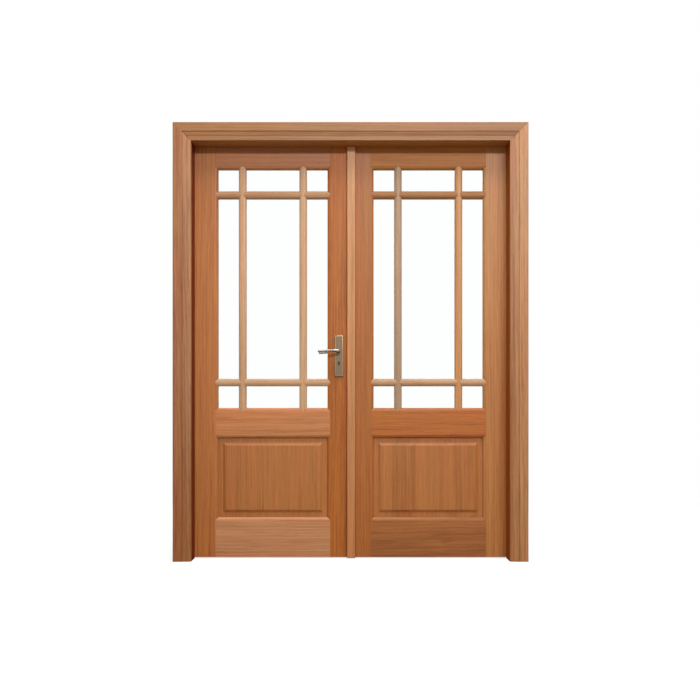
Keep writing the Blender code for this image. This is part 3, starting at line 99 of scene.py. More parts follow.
def scaled(colour: Colour, shares: Colour) -> Colour:
    """A colour times one share for each channel."""
    return tuple(value * share for value, share in zip(colour, shares))


class Grain(Enum):
    """Which way a board's grain runs."""

    UPRIGHT = "upright"
    LEVEL = "level"

    @classmethod
    def of(cls, node: str) -> "Grain":
        """Level for a node whose name says head, rail or level, and upright for any other."""
        return cls.LEVEL if any(word in node for word in ("head", "rail", "level")) else cls.UPRIGHT


# ---------------- node trees


class Graph:
    """The node tree of a new material or world, with shorthand for the nodes used here."""

    def __init__(self, owner: Any) -> None:
        """Start an empty tree.

        Args:
            owner: the material or world that the tree belongs to.
        """
        owner.use_nodes = True
        self.owner = owner
        self.tree = owner.node_tree
        self.tree.nodes.clear()

    @classmethod
    def of(cls, name: str) -> "Graph":
        """Start an empty tree in a new material of that name."""
        return cls(bpy.data.materials.new(name))

    def node(self, kind: str, **settings: Any) -> bpy.types.Node:
        """Add one node and set its properties.

        Args:
            kind: Blender's name for the node, without its ShaderNode prefix.
            settings: properties to set on it.

        Returns:
            The new node.
        """
        made = self.tree.nodes.new(f"ShaderNode{kind}")
        for key, value in settings.items():
            setattr(made, key, value)
        return made

    def feed(self, socket: Socket, value: Any) -> None:
        """Link an output to a socket, or set the socket to a plain value or colour.

        Args:
            socket: the input.
            value: an output, a number, or a tuple of three for a vector or a colour.
        """
        if isinstance(value, Socket):
            self.tree.links.new(value, socket)
        else:
            plain = socket.type == "RGBA" and len(value) == 3
            socket.default_value = (*value, 1.0) if plain else value

    def fed(self, kind: str, **inputs: Any) -> bpy.types.Node:
        """Add one node and feed its named inputs.

        Args:
            kind: as for node.
            inputs: values by the inputs' names, with underscores for spaces.

        Returns:
            The new node.
        """
        made = self.node(kind)
        for key, value in inputs.items():
            self.feed(made.inputs[key.replace("_", " ")], value)
        return made

    def wired(self, kind: str, values: Iterable[Any], **settings: Any) -> bpy.types.Node:
        """Add one node and feed its inputs in order.

        Args:
            kind: as for node.
            values: one for each of the first inputs.
            settings: properties to set on it.

        Returns:
            The new node.
        """
        made = self.node(kind, **settings)
        for socket, value in zip(made.inputs, values):
            self.feed(socket, value)
        return made

    def calc(self, operation: str, *values: Any) -> Socket:
        """Result of one Math node on the given sockets or numbers."""
        return self.wired("Math", values, operation=operation).outputs[0]

    def chain(self, operation: str, values: Iterable[Any]) -> Any:
        """Take the values in turn through one Math operation, such as MAXIMUM."""
        return reduce(lambda one, two: self.calc(operation, one, two), values)

    def vector(self, operation: str, *values: Any) -> Socket:
        """Result of one Vector Math node: a number for LENGTH, and otherwise a vector."""
        made = self.wired("VectorMath", values, operation=operation)
        return made.outputs["Value" if operation == "LENGTH" else "Vector"]

    def noise(
        self, place: Socket, stretch: Triple, detail: float = 2.0, rough: float = 0.5
    ) -> Socket:
        """Soft noise whose cells are 1 / stretch metres long on each axis, from 0 to 1."""
        given = {"Vector": self.vector("MULTIPLY", place, stretch), "Scale": 1.0}
        return self.fed("TexNoise", **given, Detail=detail, Roughness=rough).outputs[0]

    def span(
        self, value: Any, low: float, high: float, start: float = 0.0, end: float = 1.0
    ) -> Socket:
        """Value between low and high, eased to run from start to end and held outside."""
        given = (value, low, high, start, end)
        return self.wired("MapRange", given, interpolation_type="SMOOTHSTEP").outputs["Result"]

    def within(self, value: Any, low: float, high: float) -> Socket:
        """1 where the value lies between low and high, and 0 elsewhere."""
        over = self.calc("GREATER_THAN", value, low)
        return self.calc("MULTIPLY", over, self.calc("LESS_THAN", value, high))

    def mix(
        self, share: Any, first: Any, second: Any, blend: str = "MIX", kind: str = "Color"
    ) -> Socket:
        """Result of one Mix node.

        Args:
            share: how far from first to second.
            first: the colour or vector at share 0.
            second: the one at share 1.
            blend: how colours are mixed.
            kind: Color or Vector, as the sockets are named.

        Returns:
            The mixture.
        """
        data = "RGBA" if kind == "Color" else "VECTOR"
        made = self.node("Mix", data_type=data, blend_type=blend)
        sockets = {socket.identifier: socket for socket in made.inputs}
        for key, value in (("Factor_Float", share), (f"A_{kind}", first), (f"B_{kind}", second)):
            self.feed(sockets[key], value)
        return next(s for s in made.outputs if s.identifier == f"Result_{kind}")

    def times(self, colour: Any, shares: Any) -> Socket:
        """Colour times a share for each channel."""
        return self.mix(1.0, colour, shares, "MULTIPLY")

    def centred(self, value: Any) -> Socket:
        """Value from 0 to 1, moved to lie about 0."""
        return self.calc("SUBTRACT", value, 0.5)

    def split(self, vector: Any) -> Any:
        """The three parts of a vector."""
        return self.fed("SeparateXYZ", Vector=vector).outputs

    def place(self, turn: Triple = (0, 0, 0), shift: Triple = (0, 0, 0)) -> Socket:
        """Object coordinates, turned and then moved by a Mapping node."""
        where = self.node("TexCoord").outputs["Object"]
        return self.fed("Mapping", Vector=where, Rotation=turn, Location=shift).outputs[0]

    def bump(self, height: Any, distance: float, strength: float = 1.0) -> Socket:
        """Normal bent by a height from 0 to 1 that stands for a distance in metres."""
        return self.fed("Bump", Strength=strength, Distance=distance, Height=height).outputs[0]

    def painted_shade(self, reach: float, *span: float) -> Socket:
        """Share of painted shade in recesses, eased over how much open sky lies within reach."""
        sky = self.wired("AmbientOcclusion", ((1.0, 1.0, 1.0), reach), samples=4)
        return self.span(sky.outputs["AO"], *span)

    def seen(self, *kinds: str) -> Socket:
        """1 for a ray from the camera or of a named Light Path kind, and 0 for any other."""
        path = self.node("LightPath").outputs
        return self.chain("MAXIMUM", [path[kind] for kind in ("Is Camera Ray", *kinds)])

    def either(self, share: Any, first: bpy.types.Node, second: bpy.types.Node) -> bpy.types.Node:
        """Shader that goes from the first to the second by share."""
        return self.wired("MixShader", (share, first.outputs[0], second.outputs[0]))

    def end(self, shader: bpy.types.Node, output: str = "OutputMaterial") -> Any:
        """End the tree in a shader and return the material or world."""
        self.wired(output, (shader.outputs[0],))
        return self.owner

    def principled(self, **values: Any) -> bpy.types.Material:
        """End the tree in a Principled shader with these inputs and return the material."""
        return self.end(self.fed("BsdfPrincipled", **values))


# ---------------- finishes


def seeded(name: str) -> np.random.Generator:
    """Random numbers that are always the same for one name."""
    return np.random.default_rng(zlib.crc32(name.encode()))


@dataclass(frozen=True)
class WoodFinish:
    """Straight-grained reddish hardwood under a thin satin varnish."""

    body: Colour
    contrast: float = 1.0  # of the streaks
    dark: Colour = (0.74, 0.66, 0.58)  # deepest streak: like the next four, shares of the body's
    pale: Colour = (1.20, 1.27, 1.34)  # palest streak
    pore: Colour = (0.45, 0.36, 0.28)
    wear_and_highlight_colour: Colour = (1.5, 1.65, 1.8)  # eased arrises: paler partly as wear and partly as a painted highlight
    recess_shade: Colour = (0.55, 0.45, 0.36)  # painted shade in recesses
    warm: Colour = (1.03, 0.975, 0.96)  # one end of the hue's drift
    cool: Colour = (0.975, 1.02, 1.025)
    slope: float = 0.006  # most that a board's grain leans, in radians
    log: float = 4.0  # half the side of the block of wood that boards are sawn from
    jump: Triple = (0.31, 0.17, 1.7)  # most from one stave's wood to the next's
    stave: float = 0.0  # width of the glued staves, or 0 for one board
    ring_pitch: float = 0.013
    roughness: float = 0.44
    specular: float = 0.4
    foot: Colour = (1.0, 0.97, 0.86)  # share near the floor: a painted gradient of shade, which is a painted lift on some boards
    wax: float = 1.3  # height where that painted gradient ends
    ends: tuple[Colour, Colour] | None = None  # shares at the left and right ends of a level board
    edge: Colour | None = None  # share on the band beside the opening: painted light on one architrave, painted shade on the other
    back: Colour | None = None  # share on the raw faces against the wall

    def board(self, graph: Graph, grain: Grain, name: str, crossings: Bands) -> tuple[Any, Any]:
        """Coordinates with the grain along Z, different on every board.

        A level board's X becomes Z, by a quarter turn about Y. The board is turned a little
        further, so that its grain runs out of its edge slowly, as sawn timber's does.

        Args:
            graph: the material's tree.
            grain: which way the board runs.
            name: the board's name, which picks its place in the log.
            crossings: heights between which an upright piece holds level members.

        Returns:
            The coordinates, and the tone of the stave from 0 to 1 or None for one board.
        """
        chance = seeded(name)
        lean = chance.uniform(-self.slope, self.slope, 2).tolist()
        quarter = -math.pi / 2 if grain is Grain.LEVEL else 0.0
        log = tuple(chance.uniform(-self.log, self.log, 3).tolist())
        place = graph.place((lean[0], quarter + lean[1], 0.0), log)
        if crossings:
            level = graph.place((lean[1], -math.pi / 2 + lean[0], 0.0), log[::-1])
            height = graph.split(graph.place())[2]
            bands = [graph.within(height, low, high) for low, high in crossings]
            crossed = graph.chain("MAXIMUM", bands)
            place = graph.mix(crossed, place, level, kind="Vector")
        if not self.stave:
            return place, None
        across = graph.split(place)[0]
        count = graph.calc("FLOOR", graph.calc("DIVIDE", across, self.stave))
        tone = graph.node("TexWhiteNoise", noise_dimensions="1D")
        graph.feed(tone.inputs["W"], count)
        shifts = [graph.calc("MULTIPLY", tone.outputs["Value"], far) for far in self.jump]
        jump = graph.wired("CombineXYZ", shifts)
        return graph.vector("ADD", place, jump.outputs[0]), tone.outputs["Value"]

    def dress(self, piece: Piece, grain: Grain, crossings: Bands = ()) -> None:
        """Give a piece its own board of this wood.

        The tone is a middle value plus slow bands, ribbons about 10 mm wide, fine fibres and the
        rings of a far-off pith, which are a sine of the distance to it. The hue drifts slowly
        between pink and yellow. Pores are short dark dashes where a fine stretched noise is
        high, and they also dent and dull the varnish. Painted shade darkens the recesses, and
        eased arrises are paler, partly as wear and partly as a painted highlight. Painted light
        and shade also grade towards the floor and lie on the band beside the opening.

        Args:
            piece: the object to dress.
            grain: which way its grain runs.
            crossings: heights between which its members are level.
        """
        graph = Graph.of(f"{piece.name}_wood")
        board, stave = self.board(graph, grain, piece.name, crossings)
        wander = graph.noise(board, (4.0, 4.0, 0.9), 1.0)
        sway = graph.calc("MULTIPLY", graph.centred(wander), 0.03)
        step = graph.wired("CombineXYZ", (sway, sway))
        board = graph.vector("ADD", board, step.outputs[0])

        band = graph.noise(board, (8.0, 8.0, 0.5), 2.0)
        ribbon = graph.noise(board, (95.0, 95.0, 1.7), 3.0, 0.6)
        fibre = graph.noise(board, (420.0, 420.0, 9.0), 3.0, 0.65)
        moved = graph.vector("ADD", board, (0.9, 0.5, 0.0))
        pith = graph.vector("MULTIPLY", moved, (1.0, 1.0, 0.0))
        turns = graph.calc("MULTIPLY", graph.vector("LENGTH", pith), 2 * math.pi / self.ring_pitch)
        rings = graph.calc("SINE", graph.calc("ADD", turns, graph.calc("MULTIPLY", band, 9.0)))

        slow = graph.centred(band)
        tone = graph.calc("MULTIPLY_ADD", slow, 0.6 * self.contrast, 0.5)
        for part, weight in ((ribbon, 1.15), (fibre, 1.3)):
            centred = graph.centred(part)
            tone = graph.calc("MULTIPLY_ADD", centred, weight * self.contrast, tone)
        tone = graph.calc("MULTIPLY_ADD", rings, 0.07 * self.contrast, tone)
        if stave is not None:
            tone = graph.calc("MULTIPLY_ADD", graph.centred(stave), 0.30, tone)
        ramp = graph.fed("ValToRGB", Fac=tone)
        stops = ramp.color_ramp.elements
        for stop, shares in zip(stops, (self.dark, self.pale)):
            stop.color = (*scaled(self.body, shares), 1)
        stops.new(0.5).color = (*self.body, 1)
        drift = graph.span(graph.noise(board, (16.0, 16.0, 1.6), 2.0), 0.3, 0.7)
        hue = graph.mix(drift, self.warm, self.cool)
        colour = graph.times(ramp.outputs[0], hue)
        spot = graph.split(graph.place())
        # painted light and shade, graded towards the floor
        foot = graph.span(spot[2], 0.1, self.wax, 1.0, 0.0)
        colour = graph.mix(foot, colour, graph.times(colour, self.foot))
        if self.ends:
            along = graph.mix(graph.span(spot[0], -HALF_SPAN, HALF_SPAN), *self.ends)
            colour = graph.times(colour, along)
        # painted light and shade on the band beside the opening, and paler raw faces against the
        # wall
        for shares, where in ((self.edge, SIDE_LIGHT_BAND), (self.back, RAW_FACE)):
            if shares:
                over = graph.span(graph.calc("ABSOLUTE", spot[0]), *where)
                colour = graph.mix(over, colour, graph.times(colour, shares))

        dashes = graph.noise(board, (1500.0, 1500.0, 95.0), 1.0)
        pores = graph.span(dashes, 0.60, 0.70)
        pores = graph.calc("MULTIPLY", pores, graph.span(ribbon, 0.35, 0.7, 0.9, 0.35))
        filled = scaled(self.body, self.pore)
        colour = graph.mix(graph.calc("MULTIPLY", pores, 0.5), colour, filled)

        # eased arrises made paler: partly wear, partly a painted highlight
        wear_and_highlight_share = graph.node("Attribute", attribute_name="arris").outputs["Fac"]
        wear_and_highlight_colour = scaled(self.body, self.wear_and_highlight_colour)
        colour = graph.mix(graph.calc("MULTIPLY", wear_and_highlight_share, 0.55), colour, wear_and_highlight_colour)
        # painted shade in recesses, where little open sky lies near
        painted_shade = graph.painted_shade(0.012, 0.30, 0.85, 0.5, 0.0)
        colour = graph.mix(painted_shade, colour, scaled(self.body, self.recess_shade))

        dull = graph.calc("MULTIPLY_ADD", graph.centred(fibre), 0.16, self.roughness)
        dull = graph.calc("MULTIPLY_ADD", pores, 0.2, dull)
        height = graph.calc("MULTIPLY_ADD", pores, -1.0, graph.calc("MULTIPLY", fibre, 0.5))
        made = graph.principled(
            Base_Color=colour,
            Roughness=dull,
            Normal=graph.bump(height, 0.00012, 0.6),
            Specular_IOR_Level=self.specular,
        )
        wear(piece, made)


@dataclass(frozen=True)
class MetalFinish:
    """Plated or plain metal with fine brush lines."""

    body: Colour
    roughness: float = 0.34
    lines: Triple = (2600.0, 2600.0, 60.0)  # brush lines per metre on each axis
    relief: float = 0.00001
    tarnish: float = 0.25  # most share of film
    film: Colour = (0.72, 0.66, 0.58)  # its colour, as shares of the body colour
    recess_shade: float = 0.25  # brightness of the painted shade in recesses, as a share of the body colour
    rim: float = 1.5  # brightness of eased arrises and other marked faces, as a share of the body colour: partly wear, partly painted highlight
    lip: float = 0.0  # width of a plate's border of painted highlight

    def dress(self, piece: Piece) -> None:
        """Give a piece this metal, with cloudy wear and painted shade in its recesses.

        A plate's border of painted highlight is where the nearest of its four edges is less than
        the lip's width away. It is as bright as an eased arris, whose paleness is partly wear and
        partly a painted highlight.

        Args:
            piece: the object to dress.
        """
        graph = Graph.of(f"{piece.name}_metal")
        place = graph.place()
        brushed = graph.noise(place, self.lines, 2.0, 0.6)
        cloud = graph.noise(place, (45.0, 45.0, 38.0), 3.0, 0.6)
        film = graph.span(cloud, 0.35, 0.75, 0.0, self.tarnish)
        colour = graph.mix(film, self.body, scaled(self.body, self.film))
        streak = graph.calc("MULTIPLY_ADD", graph.centred(brushed), 0.5, 1.0)
        colour = graph.times(colour, streak)
        wear_and_highlight_share = graph.node("Attribute", attribute_name="arris").outputs["Fac"]
        if self.lip:
            wear_and_highlight_share = graph.calc("MAXIMUM", wear_and_highlight_share, self.border(graph, piece))
        # marked faces made paler: partly wear on eased arrises, and painted highlight on a plate's
        # sides and border and a lever's neck
        wear_and_highlight_colour = tuple(value * self.rim for value in self.body)
        colour = graph.mix(graph.calc("MULTIPLY", wear_and_highlight_share, 0.6), colour, wear_and_highlight_colour)
        # painted shade in recesses, the screws' crossed recesses among them
        painted_shade = graph.painted_shade(0.0015, 0.25, 0.8, 0.7, 0.0)
        colour = graph.mix(painted_shade, colour, tuple(value * self.recess_shade for value in self.body))
        dull = graph.calc("MULTIPLY_ADD", graph.centred(brushed), 0.2, self.roughness)
        dull = graph.calc("MULTIPLY_ADD", film, 0.25, dull)
        made = graph.principled(
            Base_Color=colour,
            Metallic=1.0,
            Roughness=dull,
            Normal=graph.bump(brushed, self.relief, 0.5),
        )
        wear(piece, made)

    def border(self, graph: Graph, piece: Piece) -> Socket:
        """1 along a plate's four edges, falling to 0 at the lip's inner side.

        Args:
            graph: the material's tree.
            piece: the plate.

        Returns:
            The share of the border's painted highlight.
        """
        flat = np.empty(3 * len(piece.data.vertices), np.float32)
        piece.data.vertices.foreach_get("co", flat)
        points = flat.reshape(-1, 3)
        spot = graph.split(graph.place())
        gaps = [
            graph.calc("MULTIPLY_ADD", spot[axis], sign, -sign * float(end[axis]))
            for axis in (0, 2)
            for sign, end in ((1.0, points.min(0)), (-1.0, points.max(0)))
        ]
        return graph.span(graph.chain("MINIMUM", gaps), 0.7 * self.lip, self.lip, 1.0, 0.0)


@dataclass(frozen=True)
class GlassFinish:
    """Clear float glass with a faint green body and very slight roller wave."""

    tint: Colour = (0.985, 1.0, 0.99)

    def dress(self, piece: Piece) -> None:
        """Give a pane this glass.

        Args:
            piece: the pane.
        """
        graph = Graph.of(f"{piece.name}_float")
        place = graph.place()
        wave = graph.noise(place, (6.0, 6.0, 2.5), 1.0)
        film = graph.noise(place, (30.0, 30.0, 22.0), 4.0, 0.6)
        dull = graph.span(film, 0.5, 0.9, 0.0, 0.03)
        colour = graph.mix(graph.span(film, 0.5, 0.9, 0.0, 0.4), self.tint, (0.97, 0.98, 0.97))
        made = graph.principled(
            Base_Color=colour,
            Roughness=dull,
            IOR=1.5,
            Transmission_Weight=1.0,
            Normal=graph.bump(wave, 0.0001, 0.12),
        )
        wear(piece, made)


def wear(piece: Piece, made: bpy.types.Material) -> None:
    """Put one material on the whole of a piece and report the piece.

    Args:
        piece: the object.
        made: its material.
    """
    piece.data.materials.clear()
    piece.data.materials.append(made)
    REPORT.info("%s: %d faces", piece.name, len(piece.data.polygons))


# ---------------- skins


def circle(places: int) -> np.ndarray:
    """Cosines and sines of evenly spaced turns, as places x 2."""
    turn = np.linspace(0, 2 * np.pi, places, endpoint=False)
    return np.stack([np.cos(turn), np.sin(turn)], axis=1)


def placed(name: str, data: Any) -> Piece:
    """Put a new object in the scene, at the origin.

    Args:
        name: its name.
        data: its mesh, camera or light.

    Returns:
        The object.
    """
    made = bpy.data.objects.new(name, data)
    bpy.context.scene.collection.objects.link(made)
    return made


def poled(rings: np.ndarray) -> np.ndarray:
    """Every point of a run of sections, then the mean of the first and of the last."""
    return np.concatenate([rings.reshape(-1, 3), [rings[0].mean(0), rings[-1].mean(0)]])


def rise(share: np.ndarray) -> np.ndarray:
    """Smooth step: three times the share's square less twice its cube."""
    return share * share * (3 - 2 * share)


CREASE = math.radians(32)  # a skin is sharp where it bends by more than this


class Skin:
    """Closed skins of quads gathered into one mesh."""

    def __init__(self) -> None:
        """Start with no points and no faces."""
        self.points: list[np.ndarray] = []
        self.faces: list[list[int]] = []
        self.count = 0

    def tube(self, rings: np.ndarray) -> "Skin":
        """Add the skin through a run of closed sections, with a pole at each end.

        Point (i, j) is place j of section i. Quads join it to the next place and the next
        section, and each end fans to the mean of its section. The faces are turned round if the
        signed volume, a sixth of the sum of each triangle's triple product, comes out negative.

        Args:
            rings: sections x places x 3.

        Returns:
            This skin.
        """
        rows, places = rings.shape[:2]
        points = poled(rings)
        here = np.arange(rows * places).reshape(rows, places)
        near, far = here[:-1], here[1:]
        quads = np.stack([near, np.roll(near, -1, 1), np.roll(far, -1, 1), far], axis=-1)
        quads = quads.reshape(-1, 4)
        first, last = here[0], here[-1]
        foot = np.stack([np.roll(first, -1), first, np.full(places, rows * places)], axis=-1)
        head = np.stack([last, np.roll(last, -1), np.full(places, rows * places + 1)], axis=-1)
        triangles = np.concatenate([quads[:, [0, 1, 2]], quads[:, [0, 2, 3]], foot, head])
        a, b, c = (points[triangles[:, k]] for k in range(3))
        if np.einsum("ij,ij->", a, np.cross(b, c)) < 0:
            quads, foot, head = quads[:, ::-1], foot[:, ::-1], head[:, ::-1]
        self.points.append(points)
        self.faces += [(part + self.count).tolist() for part in (quads, foot, head)]
        self.count += len(points)
        return self

    def object(self, name: str) -> Piece:
        """Make the mesh object, smooth except across sharp edges.

        Args:
            name: its name.

        Returns:
            The object.
        """
        mesh = bpy.data.meshes.new(name)
        faces = [face for part in self.faces for face in part]
        mesh.from_pydata(np.concatenate(self.points).tolist(), [], faces)
        mesh.shade_smooth()
        mesh.set_sharp_from_angle(angle=CREASE)
        return placed(name, mesh)


MERGE = 2e-6  # points closer than this are one
FLAT = math.radians(0.4)  # faces that meet at less than this are one
GENTLE = 0.02  # least angle, in radians, of an edge that is shaded smooth
SMALL_FACE = 1e-4  # in square metres: faces below this are shaded smooth
LEAST_RUN = 8  # an eased edge is at least this many times as long as its bevel is wide
LEAN = 0.98  # a face leans away from Y where its normal's Y is below this


def eased_copy(
    node: str, arris: float, sharp: float = 35.0, smooth: bool = False, rim: bool = False
) -> Piece:
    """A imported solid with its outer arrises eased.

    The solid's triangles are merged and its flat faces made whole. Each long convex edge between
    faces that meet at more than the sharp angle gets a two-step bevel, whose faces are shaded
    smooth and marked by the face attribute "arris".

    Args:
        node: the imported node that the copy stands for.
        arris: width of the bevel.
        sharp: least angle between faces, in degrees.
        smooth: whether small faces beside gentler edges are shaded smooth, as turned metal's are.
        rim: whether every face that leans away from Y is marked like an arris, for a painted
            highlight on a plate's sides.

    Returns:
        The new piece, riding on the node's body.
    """
    work = bmesh.new()
    work.from_mesh(frame["nodes"][node].data)
    for face in work.faces:
        face.smooth = False
    bmesh.ops.remove_doubles(work, verts=work.verts, dist=MERGE)
    bmesh.ops.dissolve_limit(work, angle_limit=FLAT, verts=work.verts, edges=work.edges)
    mark = work.faces.layers.float.new("arris")
    least = math.radians(sharp)
    edges = [
        edge
        for edge in work.edges
        if edge.is_convex
        and edge.calc_length() > LEAST_RUN * arris
        and edge.calc_face_angle(0.0) > least
    ]
    if smooth:
        for edge in work.edges:
            if GENTLE < edge.calc_face_angle(0.0) <= least:
                for face in edge.link_faces:
                    face.smooth = face.calc_area() < SMALL_FACE
    made = bmesh.ops.bevel(
        work,
        geom=edges,
        offset=arris,
        offset_type="OFFSET",
        segments=2,
        profile=0.5,
        affect="EDGES",
        clamp_overlap=False,
    )
    for face in made["faces"]:
        face.smooth = True
        face[mark] = 1.0
    if rim:
        work.normal_update()
        for face in work.faces:
            # a plate's sides, marked for a painted highlight
            face[mark] = max(face[mark], float(abs(face.normal.y) < LEAN))
    mesh = bpy.data.meshes.new(f"{node}_eased")
    work.to_mesh(mesh)
    work.free()
    if smooth:
        mesh.set_sharp_from_angle(angle=least)
    piece = placed(f"{node}_eased", mesh)
    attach(piece, BODY_OF[node])
    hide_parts(node)
    return piece


@dataclass
class Screws:
    """Countersunk screws with shallow oval heads, each with a crossed recess."""

    radius: float = 0.0038
    proud: float = 0.00024
    arm: float = 0.0021  # of the cross, from its middle to its end
    half_width: float = 0.00045
    buried: float = 0.0006  # depth of the head's hidden foot
    lip: float = 0.00003  # height of the head's edge above the metal
    floor: float = 0.00002  # height of the recess's bottom
    dome: Pair = (0.94, 0.78)  # its two sections, as shares of the radius
    climb: Triple = (0.45, 0.8, 1.0)  # their heights and the recess's mouth's, as shares
    taper: float = 0.86  # recess's bottom, as a share of its mouth
    places: int = 32

    def head(self, spot: Vector, outward: Vector, spin: float) -> np.ndarray:
        """Sections of one head, from its hidden foot over the dome and into the recess.

        The recess's outline is two crossed bars: at each turn its reach is the longer of the two
        bars' reaches, and a bar's reach is the shorter of its length over the cosine and its half
        width over the sine.

        Args:
            spot: middle of the head, on the metal's face.
            outward: the face's normal.
            spin: turn of the cross about it.

        Returns:
            Sections x places x 3.
        """
        unit = circle(self.places)
        along, across = np.maximum(np.abs(unit), 1e-6).T
        level = np.minimum(self.arm / along, self.half_width / across)
        upright = np.minimum(self.half_width / along, self.arm / across)
        cross = np.maximum(level, upright)
        whole = np.full(self.places, self.radius)
        dome = [share * whole for share in self.dome]
        reach = np.stack([whole, whole, *dome, cross, self.taper * cross])
        climb = self.proud * np.array(self.climb)
        height = np.array([-self.buried, self.lip, *climb, self.floor])
        first = outward.orthogonal().normalized()
        second = outward.cross(first)
        cosine, sine = math.cos(spin), math.sin(spin)
        axes = np.array([first * cosine + second * sine, second * cosine - first * sine])
        flat = reach[:, :, None] * (unit @ axes)[None]
        return np.array(spot) + flat + height[:, None, None] * np.array(outward)

    def drive(self, node: str, spots: Iterable[Vector], outward: Vector) -> None:
        """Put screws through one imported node's plate.

        Args:
            node: the node that they hold.
            spots: middles of the heads.
            outward: normal of the plate's face.
        """
        chance = seeded(f"{node}_screws")
        skin = Skin()
        for spot in spots:
            skin.tube(self.head(spot, outward, chance.uniform(0, math.pi / 2)))
        piece = skin.object(f"{node}_screws")
        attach(piece, BODY_OF[node])
        STEEL.dress(piece)


# ---------------- tones


def tinted(red: int, green: int, blue: int, contrast: float = 1.0, **more: Any) -> WoodFinish:
    """Wood of one 8-bit screen colour, with more of its fields by name."""
    return WoodFinish(srgb(red, green, blue), contrast, **more)


RAW_WOOD = (2.0, 3.0, 8.0)  # shares of the linings' body colours on their raw faces
LININGS = {
    "left_jamb": tinted(113, 40, 1, 1.5, roughness=0.5, specular=0.1, back=RAW_WOOD),
    "right_jamb": tinted(159, 74, 3, 1.5, roughness=0.5, specular=0.1, back=RAW_WOOD),
    "head_lining": tinted(184, 120, 54, 1.4, roughness=0.46),
}
# BROWN's edge is painted light on its band beside the opening and PALE's is painted shade; both
# feet are painted gradients towards the floor
BROWN = tinted(158, 100, 59, 2.1, edge=(1.20, 1.45, 1.80), foot=(1.0, 0.93, 0.74), wax=0.9)
PALE = tinted(177, 122, 76, 1.7, edge=(0.80, 0.71, 0.68), foot=(1.08, 1.10, 1.06))
TAN = tinted(151, 101, 57, 1.25, ends=((1.08, 1.10, 1.15), (0.92, 0.89, 0.84)))
ARCHITRAVES = {"front": (BROWN, PALE, TAN), "rear": (TAN, BROWN, TAN)}  # left, right, head
PANEL = tinted(178, 111, 57, 0.95, stave=0.115)
BAR = tinted(197, 153, 115)
BOARDS = {  # the left leaf's and the right leaf's
    "meeting_stile": (tinted(174, 99, 40, 1.6, specular=0.3), tinted(169, 101, 43, 1.25)),
    "hinge_stile": (tinted(178, 108, 53, 1.4), tinted(185, 123, 66, 1.1)),
    "top_rail": (tinted(174, 107, 60), tinted(176, 111, 51, 1.1, specular=0.2)),
    "lock_rail": (tinted(189, 120, 72, 1.5), tinted(180, 102, 41, 1.5)),
    "bottom_rail": (tinted(194, 135, 95, 1.35), tinted(161, 98, 51, 1.9)),
    "panel": (PANEL, PANEL),
    "upright_bar_inner": (BAR, tinted(175, 139, 108)),
    "upright_bar_outer": (BAR, tinted(200, 141, 87)),
    "level_bar_lower": (BAR, BAR),
    "level_bar_upper": (tinted(184, 138, 96), tinted(160, 103, 47)),
    "rear_grille": (BAR, BAR),
}
# foot: painted shade towards the floor
STRIP = tinted(202, 144, 95, wax=2.0, foot=(0.90, 0.78, 0.64))

# plates' nickel: rim and lip give their sides and border a painted highlight
SATIN_NICKEL = MetalFinish((0.205, 0.145, 0.09), 0.36, rim=2.4, lip=0.004)
# lever's nickel: rim is the brightness of the painted highlight on its neck and bend
LEVER_NICKEL = MetalFinish((0.30, 0.27, 0.25), 0.28, (20.0, 500.0, 500.0), 0.000002, rim=2.8)
STEEL = MetalFinish((0.56, 0.54, 0.51), 0.32)
BLUED_STEEL = MetalFinish((0.035, 0.033, 0.032), 0.5)
BRASS = MetalFinish((0.66, 0.47, 0.21), 0.3)
FLOAT_GLASS = GlassFinish()


EDGE_PLATES = ("lock_case", "strike_plate", "top_bolt_case", "bottom_bolt_case")

# ---------------- sub-assemblies


@dataclass
class Joinery:
    """Wood pieces that ride together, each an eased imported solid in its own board."""

    arris: float = 0.0006

    def finish(self, node: str, wood: WoodFinish, slot: str, crossings: Bands = ()) -> None:
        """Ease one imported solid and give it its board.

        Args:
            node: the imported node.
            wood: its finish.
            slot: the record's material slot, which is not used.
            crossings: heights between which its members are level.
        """
        piece = eased_copy(node, self.arris)
        wood.dress(piece, Grain.of(node), crossings)


@dataclass
class Casing(Joinery):
    """The rebated lining and the architraves on both faces of the wall."""

    def build(self) -> None:
        """Finish the lining, then each architrave."""
        for node, wood in LININGS.items():
            self.finish(node, wood, "lining_wood")
        for face, woods in ARCHITRAVES.items():
            for place, wood in zip((*SIDES, "head"), woods):
                self.finish(f"{face}_architrave_{place}", wood, "architrave_wood")


@dataclass
class Leaf(Joinery):
    """One glazed leaf: stiles, rails, bars, panel, rear grille and pane."""

    side: str = "left"
    overlap: float = 0.001  # by which the grille's outer bands run past its ends

    def crossings(self) -> Bands:
        """Find the rear grille's level members.

        Returns:
            The heights of its foot, its two bars and its head.
        """
        parts = ("rear_grille", "level_bar_lower", "level_bar_upper")
        boxes = [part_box(f"{self.side}_{part}") for part in parts]
        (low, high), *bars = [(box[0].z, box[1].z) for box in boxes]
        rim, past = (bars[0][1] - bars[0][0]) / 2, self.overlap
        return ((low - past, low + rim), *bars, (high - rim, high + past))

    def build(self) -> None:
        """Finish the wood pieces, then the pane."""
        for part, woods in BOARDS.items():
            wood = woods[SIDES.index(self.side)]
            kinds = [kind for kind in ("stile", "rail", "panel") if kind in part] or ["bar"]
            crossings = self.crossings() if part == "rear_grille" else ()
            self.finish(f"{self.side}_{part}", wood, f"{kinds[0]}_wood", crossings)
        FLOAT_GLASS.dress(frame["nodes"][f"{self.side}_glass"])


